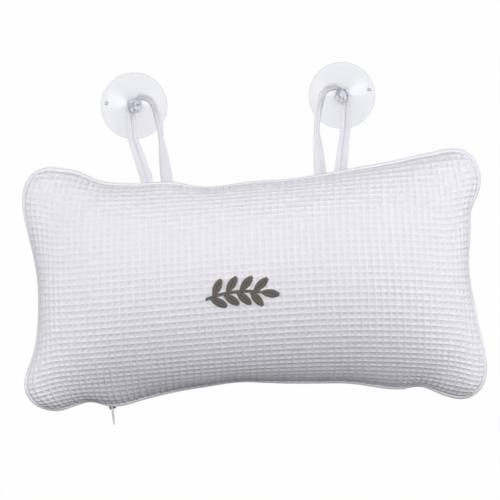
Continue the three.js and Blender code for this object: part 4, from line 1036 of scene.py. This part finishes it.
def cup(name, loop):
    """A moulded suction cup: thin dome, neck, round head, rolled rim and a small pip."""
    inside = CUP_HOLLOW + CUP_RIM
    profile = through_points(inside + CUP_DOME + CUP_NECK + CUP_HEAD, samples=CUP_SAMPLES)
    profile[:, 0] = np.maximum(profile[:, 0], 0)
    turns = np.linspace(0, 2 * math.pi, CUP_SIDES, endpoint=False)
    around = np.stack([np.cos(turns), np.sin(turns), np.ones(CUP_SIDES)], axis=1)
    rings = np.array([around * (radius, radius, height) for radius, height in profile[1:-1]])
    turn = math.radians(loop["pip"])
    pip = PIP_FROM_AXIS * np.array([math.cos(turn), math.sin(turn)])
    away = np.linalg.norm(rings[..., :2] - pip, axis=2)
    last_of_rim = CUP_SAMPLES * (len(inside) - 1) - 1
    upper = (np.arange(len(rings)) > last_of_rim)[:, None]
    rings[..., 2] += np.where(upper, PIP_HEIGHT * (1 - smooth_step(*PIP_SLOPE, away)), 0)
    index, faces = ring_faces(rings)
    bottom, top = index.size, index.size + 1
    points = np.vstack([rings.reshape(-1, 3), [[0, 0, profile[0, 1]], [0, 0, profile[-1, 1]]]])
    for centre, ring, order in ((bottom, index[0], -1), (top, index[-1], 1)):
        faces += [[centre, *pair[::order]] for pair in zip(ring.tolist(), np.roll(ring, -1).tolist())]
    polish = smooth_step(*POLISHED_FROM, points[:, 2])
    inner, outer = PIP_RING
    # painted shade round the pip's flank
    shaded_ring = np.where(upper, smooth_step(*inner, away) * (1 - smooth_step(*outer, away)), 0)
    pip_shade = np.append(shaded_ring, [0, 0])
    points[:, :2] += np.array(loop["cup"])
    made = mesh_object(name, points, faces, VINYL)
    for label, values in (("polish", polish), ("pip_shade", pip_shade)):
        made.data.attributes.new(label, "FLOAT", "POINT").data.foreach_set("value", values)
    return made


def zip_strip(name, section):
    """A zip tape: a section of distances out and heights, carried along the zip's arc, its ends tucked in."""
    section = np.array(section)
    rings = []
    for length in np.linspace(ZIP_TAPE_START, ZIP_TAPE_END, ZIP_STEPS):
        from_end = min(length - ZIP_TAPE_START, ZIP_TAPE_END - length)
        tucked = ZIP_TUCK * smooth_step(ZIP_TUCK_LENGTH, 0, from_end)
        x, y = zip_point(length, section[:, 0] - tucked)
        rings.append(np.column_stack([x, y, section[:, 1]]))
    return loft(name, rings, ZIP_CLOTH)


def zip_teeth(name, height, shift):
    """A row of moulded teeth along the zip's arc."""
    at = np.linspace(ZIP_START + shift, ZIP_END - TOOTH_PITCH + shift, TOOTH_PATH_STEPS)
    x, y = zip_point(at, ZIP_OUT)
    made = edge_lines(name, [np.column_stack([x, y, np.full(len(x), height)])])
    size = [side * MM for side in TOOTH_SIZE]
    return run_tree(made, BLOCKS, {"Step": TOOTH_PITCH * MM, "Size": size, "Finish": NYLON})


def from_solid(name, source, bevel, finish):
    """A rounded-off copy of a CAD node."""
    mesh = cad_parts[source].data.copy()
    mesh.name = name
    mesh.materials.clear()
    mesh.materials.append(finish)
    made = bpy.data.objects.new(name, mesh)
    bpy.context.scene.collection.objects.link(made)
    work = bmesh.new()
    work.from_mesh(mesh)
    bmesh.ops.remove_doubles(work, verts=work.verts, dist=MERGE_DISTANCE)
    bmesh.ops.dissolve_limit(work, angle_limit=math.radians(FLAT_ANGLE), verts=work.verts, edges=work.edges)
    limit = math.radians(SHARP_ANGLE)
    sharp = [edge for edge in work.edges if edge.is_manifold and edge.calc_face_angle() > limit]
    bmesh.ops.bevel(work, geom=sharp, offset=bevel * MM, segments=BEVEL_SEGMENTS, affect="EDGES",
                    clamp_overlap=True)
    work.to_mesh(mesh)
    work.free()
    mesh.polygons.foreach_set("use_smooth", [False] * len(mesh.polygons))
    return made


def leaf_stitches(base, angle):
    """Satin stitches of one leaf: two rows that slant from its edges to its middle."""
    way = np.array([math.cos(angle), math.sin(angle)])
    side = np.array([-way[1], way[0]])
    lines = []
    for sign in (1, -1):
        for at in np.arange(LEAF_ENDS[0], LEAF_LENGTH - LEAF_ENDS[1], STITCH_SPACING):
            share = at / LEAF_LENGTH
            half = 2 * LEAF_WIDTH * share * (1 - share)
            lean = min(1.0, half / LEAF_FULL_LEAN)
            inner = base + way * (at - LEAF_STITCH_BACK * lean) + side * (-sign * LEAF_OVERLAP)
            outer = base + way * (at + LEAF_STITCH_ON * lean) + side * (sign * half)
            lines.append(np.linspace(inner, outer, LEAF_POINTS))
    return lines


def sprig():
    """The stitches of the sprig, as lines in plan."""
    centre = np.array([SPRIG_AT[0], SPRIG_AT[1] - SPRIG_BEND])
    turn = SPRIG_LENGTH / SPRIG_BEND
    start = math.pi / 2 + turn / 2
    leaf_space = (SPRIG_LENGTH - LEAF_LENGTH) / SPRIG_BEND

    def on_stem(share):
        angle = start - leaf_space * share
        return centre + SPRIG_BEND * np.array([math.cos(angle), math.sin(angle)]), angle - math.pi / 2

    lines = []
    for share in np.arange(0, 1.0, STITCH_SPACING / (SPRIG_LENGTH - LEAF_LENGTH)):
        at, way = on_stem(share)
        lean = way + STEM_STITCH_LEAN
        slant = np.array([math.cos(lean), math.sin(lean)]) * STEM_WIDTH * STEM_STITCH
        lines.append(np.linspace(at - slant, at + slant, STEM_POINTS))
    for pair in range(LEAF_PAIRS):
        share = (pair + 0.5) / LEAF_PAIRS
        for place, angle in ((share, LEAF_ANGLE), (share - LEAF_STAGGER / LEAF_PAIRS, -LEAF_ANGLE)):
            at, way = on_stem(place)
            lines += leaf_stitches(at, way + math.radians(angle))
    at, way = on_stem(1.0)
    return lines + leaf_stitches(at, way)


def embroidery(front_face):
    """Satin stitches laid over the front of the cover, each arched a little."""
    rows, columns = front_face.shape[:2]
    faces = quads(np.arange(rows * columns).reshape(rows, columns))
    surface = BVHTree.FromPolygons(front_face.reshape(-1, 3).tolist(), faces.tolist())
    threads, dip_shades = [], []
    for line in sprig():
        arch = np.sin(np.linspace(0, math.pi, len(line)))
        points = []
        for (x, y), lift in zip(line, arch):
            hit, normal, _, _ = surface.ray_cast(Vector((x, y, STITCH_DROP)), Vector((0, 0, -1)))
            points.append(hit + normal * (RIDGE_HEIGHT * STITCH_SEAT + STITCH_ARCH * lift))
        threads.append(np.array(points))
        # painted shade: 1 at the stitch's ends, 0 at the top of its arch
        dip_shades.append(1 - arch)
    made = edge_lines("sprig_embroidery", threads)
    dip = made.data.attributes.new("dip", "FLOAT", "POINT")
    dip.data.foreach_set("value", np.concatenate(dip_shades).astype(np.float32))
    return run_tree(made, ROUND, {"Diameter": STITCH_THREAD * MM, "Sides": STITCH_SIDES, "Finish": THREAD})


def stage_floor():
    """A grey floor, which the camera sees as white with the object's faint shadow."""
    made, tree = material("painted_floor")
    rays = node(tree, "ShaderNodeLightPath")
    seen = node(tree, "ShaderNodeMath", {
        0: rays.outputs["Is Camera Ray"], 1: rays.outputs["Is Glossy Ray"]}, operation="MAXIMUM")
    through = node(tree, "ShaderNodeMath", {
        0: seen.outputs[0], 1: rays.outputs["Is Transmission Ray"]}, operation="MAXIMUM")
    share = node(tree, "ShaderNodeMath", {0: through.outputs[0], 1: FLOOR_WHITE}, operation="MULTIPLY")
    paint = node(tree, "ShaderNodeBsdfDiffuse", {"Color": linear("#707075")})
    glow = node(tree, "ShaderNodeEmission", {"Color": (1, 1, 1, 1), "Strength": 1.0})
    mix = node(tree, "ShaderNodeMixShader", {0: share.outputs[0], 1: paint.outputs[0], 2: glow.outputs[0]})
    node(tree, "ShaderNodeOutputMaterial", {"Surface": mix.outputs[0]})
    signs = ((-1, -1), (1, -1), (1, 1), (-1, 1))
    corners = [(x * FLOOR_HALF, y * FLOOR_HALF, FLOOR_HEIGHT) for x, y in signs]
    floor = mesh_object("floor", corners, [[0, 1, 2, 3]], made)


def world_light():
    """Faint light from all round: the camera sees white, gloss and clear vinyl a room with darker walls."""
    world = bpy.data.worlds.new("studio")
    bpy.context.scene.world = world
    world.use_nodes = True
    tree = world.node_tree
    tree.nodes.clear()
    rays = node(tree, "ShaderNodeLightPath")
    mirrored = node(tree, "ShaderNodeMath", {
        0: rays.outputs["Is Glossy Ray"], 1: rays.outputs["Is Transmission Ray"]}, operation="MAXIMUM")
    place = node(tree, "ShaderNodeTexCoord")
    height = node(tree, "ShaderNodeSeparateXYZ", {"Vector": place.outputs["Generated"]})
    walls = node(tree, "ShaderNodeMapRange", {
        "Value": height.outputs["Z"], "From Min": WALL_FADE[0], "From Max": WALL_FADE[1],
        "To Min": WALL_LIGHT, "To Max": 1.0})
    fill = node(tree, "ShaderNodeBackground", {"Color": linear("#f1f2ff"), "Strength": FILL_LIGHT})
    room = node(tree, "ShaderNodeBackground", {"Color": (1, 1, 1, 1), "Strength": walls.outputs[0]})
    white = node(tree, "ShaderNodeBackground", {"Color": (1, 1, 1, 1), "Strength": 1.0})
    indoors = node(tree, "ShaderNodeMixShader", {
        0: mirrored.outputs[0], 1: fill.outputs[0], 2: room.outputs[0]})
    mix = node(tree, "ShaderNodeMixShader", {
        0: rays.outputs["Is Camera Ray"], 1: indoors.outputs[0], 2: white.outputs[0]})
    node(tree, "ShaderNodeOutputWorld", {"Surface": mix.outputs[0]})


def soft_box(name, place, aim, size, watts):
    """A square lamp that points at a place."""
    lamp = bpy.data.lights.new(name, "AREA")
    lamp.energy = watts
    lamp.size = size
    made = bpy.data.objects.new(name, lamp)
    made.location = place
    made.rotation_euler = (Vector(aim) - Vector(place)).to_track_quat("-Z", "Y").to_euler()
    bpy.context.scene.collection.objects.link(made)
    return made


def photo_camera():
    """A long lens straight above, turned so that the pillow leans as it does in the photograph."""
    lens = bpy.data.cameras.new("photo_camera")
    lens.sensor_width = SENSOR_WIDTH
    lens.lens = SENSOR_WIDTH * VIEW_DISTANCE / VIEW_WIDTH
    lens.clip_start, lens.clip_end = VIEW_CLIP
    made = bpy.data.objects.new("photo_camera", lens)
    made.location = (VIEW_CENTRE[0] * MM, VIEW_CENTRE[1] * MM, (SEAM_HEIGHT + VIEW_DISTANCE) * MM)
    made.rotation_euler = (0, 0, -math.radians(VIEW_LEAN))
    bpy.context.scene.collection.objects.link(made)
    bpy.context.scene.camera = made


photo_camera()
world_light()
stage_floor()
key_light = soft_box("key_light", KEY_AT, KEY_AIM, KEY_SIZE, KEY_WATTS)
left_light = soft_box("left_light", LEFT_AT, SIDE_AIM, SIDE_SIZE, LEFT_WATTS)
right_light = soft_box("right_light", RIGHT_AT, SIDE_AIM, SIDE_SIZE, RIGHT_WATTS)
key_light.visible_glossy = False  # so that it doesn't show as a square patch on the cups
for lamp in (key_light, left_light, right_light):
    lamp.visible_transmission = False
bpy.context.scene.view_settings.view_transform = "Standard"

waffle_cover, front_face = cover()
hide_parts("front_panel", "back_panel", "inner_pad_front", "inner_pad_back", "fibre_fill",
            "embroidery_backing")
piping_bead = piping()
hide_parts("piping_cover", "piping_cord")
sprig_embroidery = embroidery(front_face)
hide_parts("embroidery")
for piece, slot in ((waffle_cover, "waffle_cotton"), (piping_bead, "white_cotton"),
                    (sprig_embroidery, "embroidery_thread")):
    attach(piece, "pillow")

for side, loop in LOOPS.items():
    loop_tape, line, out = tape(f"{side}_tape", loop)
    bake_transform(loop_tape)
    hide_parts(f"{side}_strap", f"{side}_strap_outer_tail", f"{side}_strap_inner_tail")
    vinyl_cup = cup(f"{side}_cup_vinyl", loop)
    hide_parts(f"{side}_suction_cup")
    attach(vinyl_cup, f"{side}_cup")

for piece, node_name, slot in (
        (zip_strip("upper_zip_tape", UPPER_ZIP_TAPE), "zip_tape_upper", "zip_tape"),
        (zip_strip("lower_zip_tape", LOWER_ZIP_TAPE), "zip_tape_lower", "zip_tape"),
        (zip_teeth("upper_zip_teeth", UPPER_TEETH_AT, UPPER_TEETH_SHIFT), "zip_teeth_upper", "zip_nylon"),
        (zip_teeth("lower_zip_teeth", LOWER_TEETH_AT, LOWER_TEETH_SHIFT), "zip_teeth_lower", "zip_nylon")):
    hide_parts(node_name)
    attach(piece, "pillow")

for name, source, bevel, finish, body in (
        ("slider_body", "zip_slider", SLIDER_BEVEL, GUNMETAL, "slider"),
        ("slider_pull", "zip_pull", PULL_BEVEL, NICKEL, "pull"),
        ("bottom_stop", "zip_bottom_stop", STOP_BEVEL, NICKEL, "pillow"),
        ("upper_top_stop", "zip_top_stop_upper", STOP_BEVEL, NICKEL, "pillow"),
        ("lower_top_stop", "zip_top_stop_lower", STOP_BEVEL, NICKEL, "pillow")):
    piece = from_solid(name, source, bevel, finish)
    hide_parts(source)
    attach(piece, body)
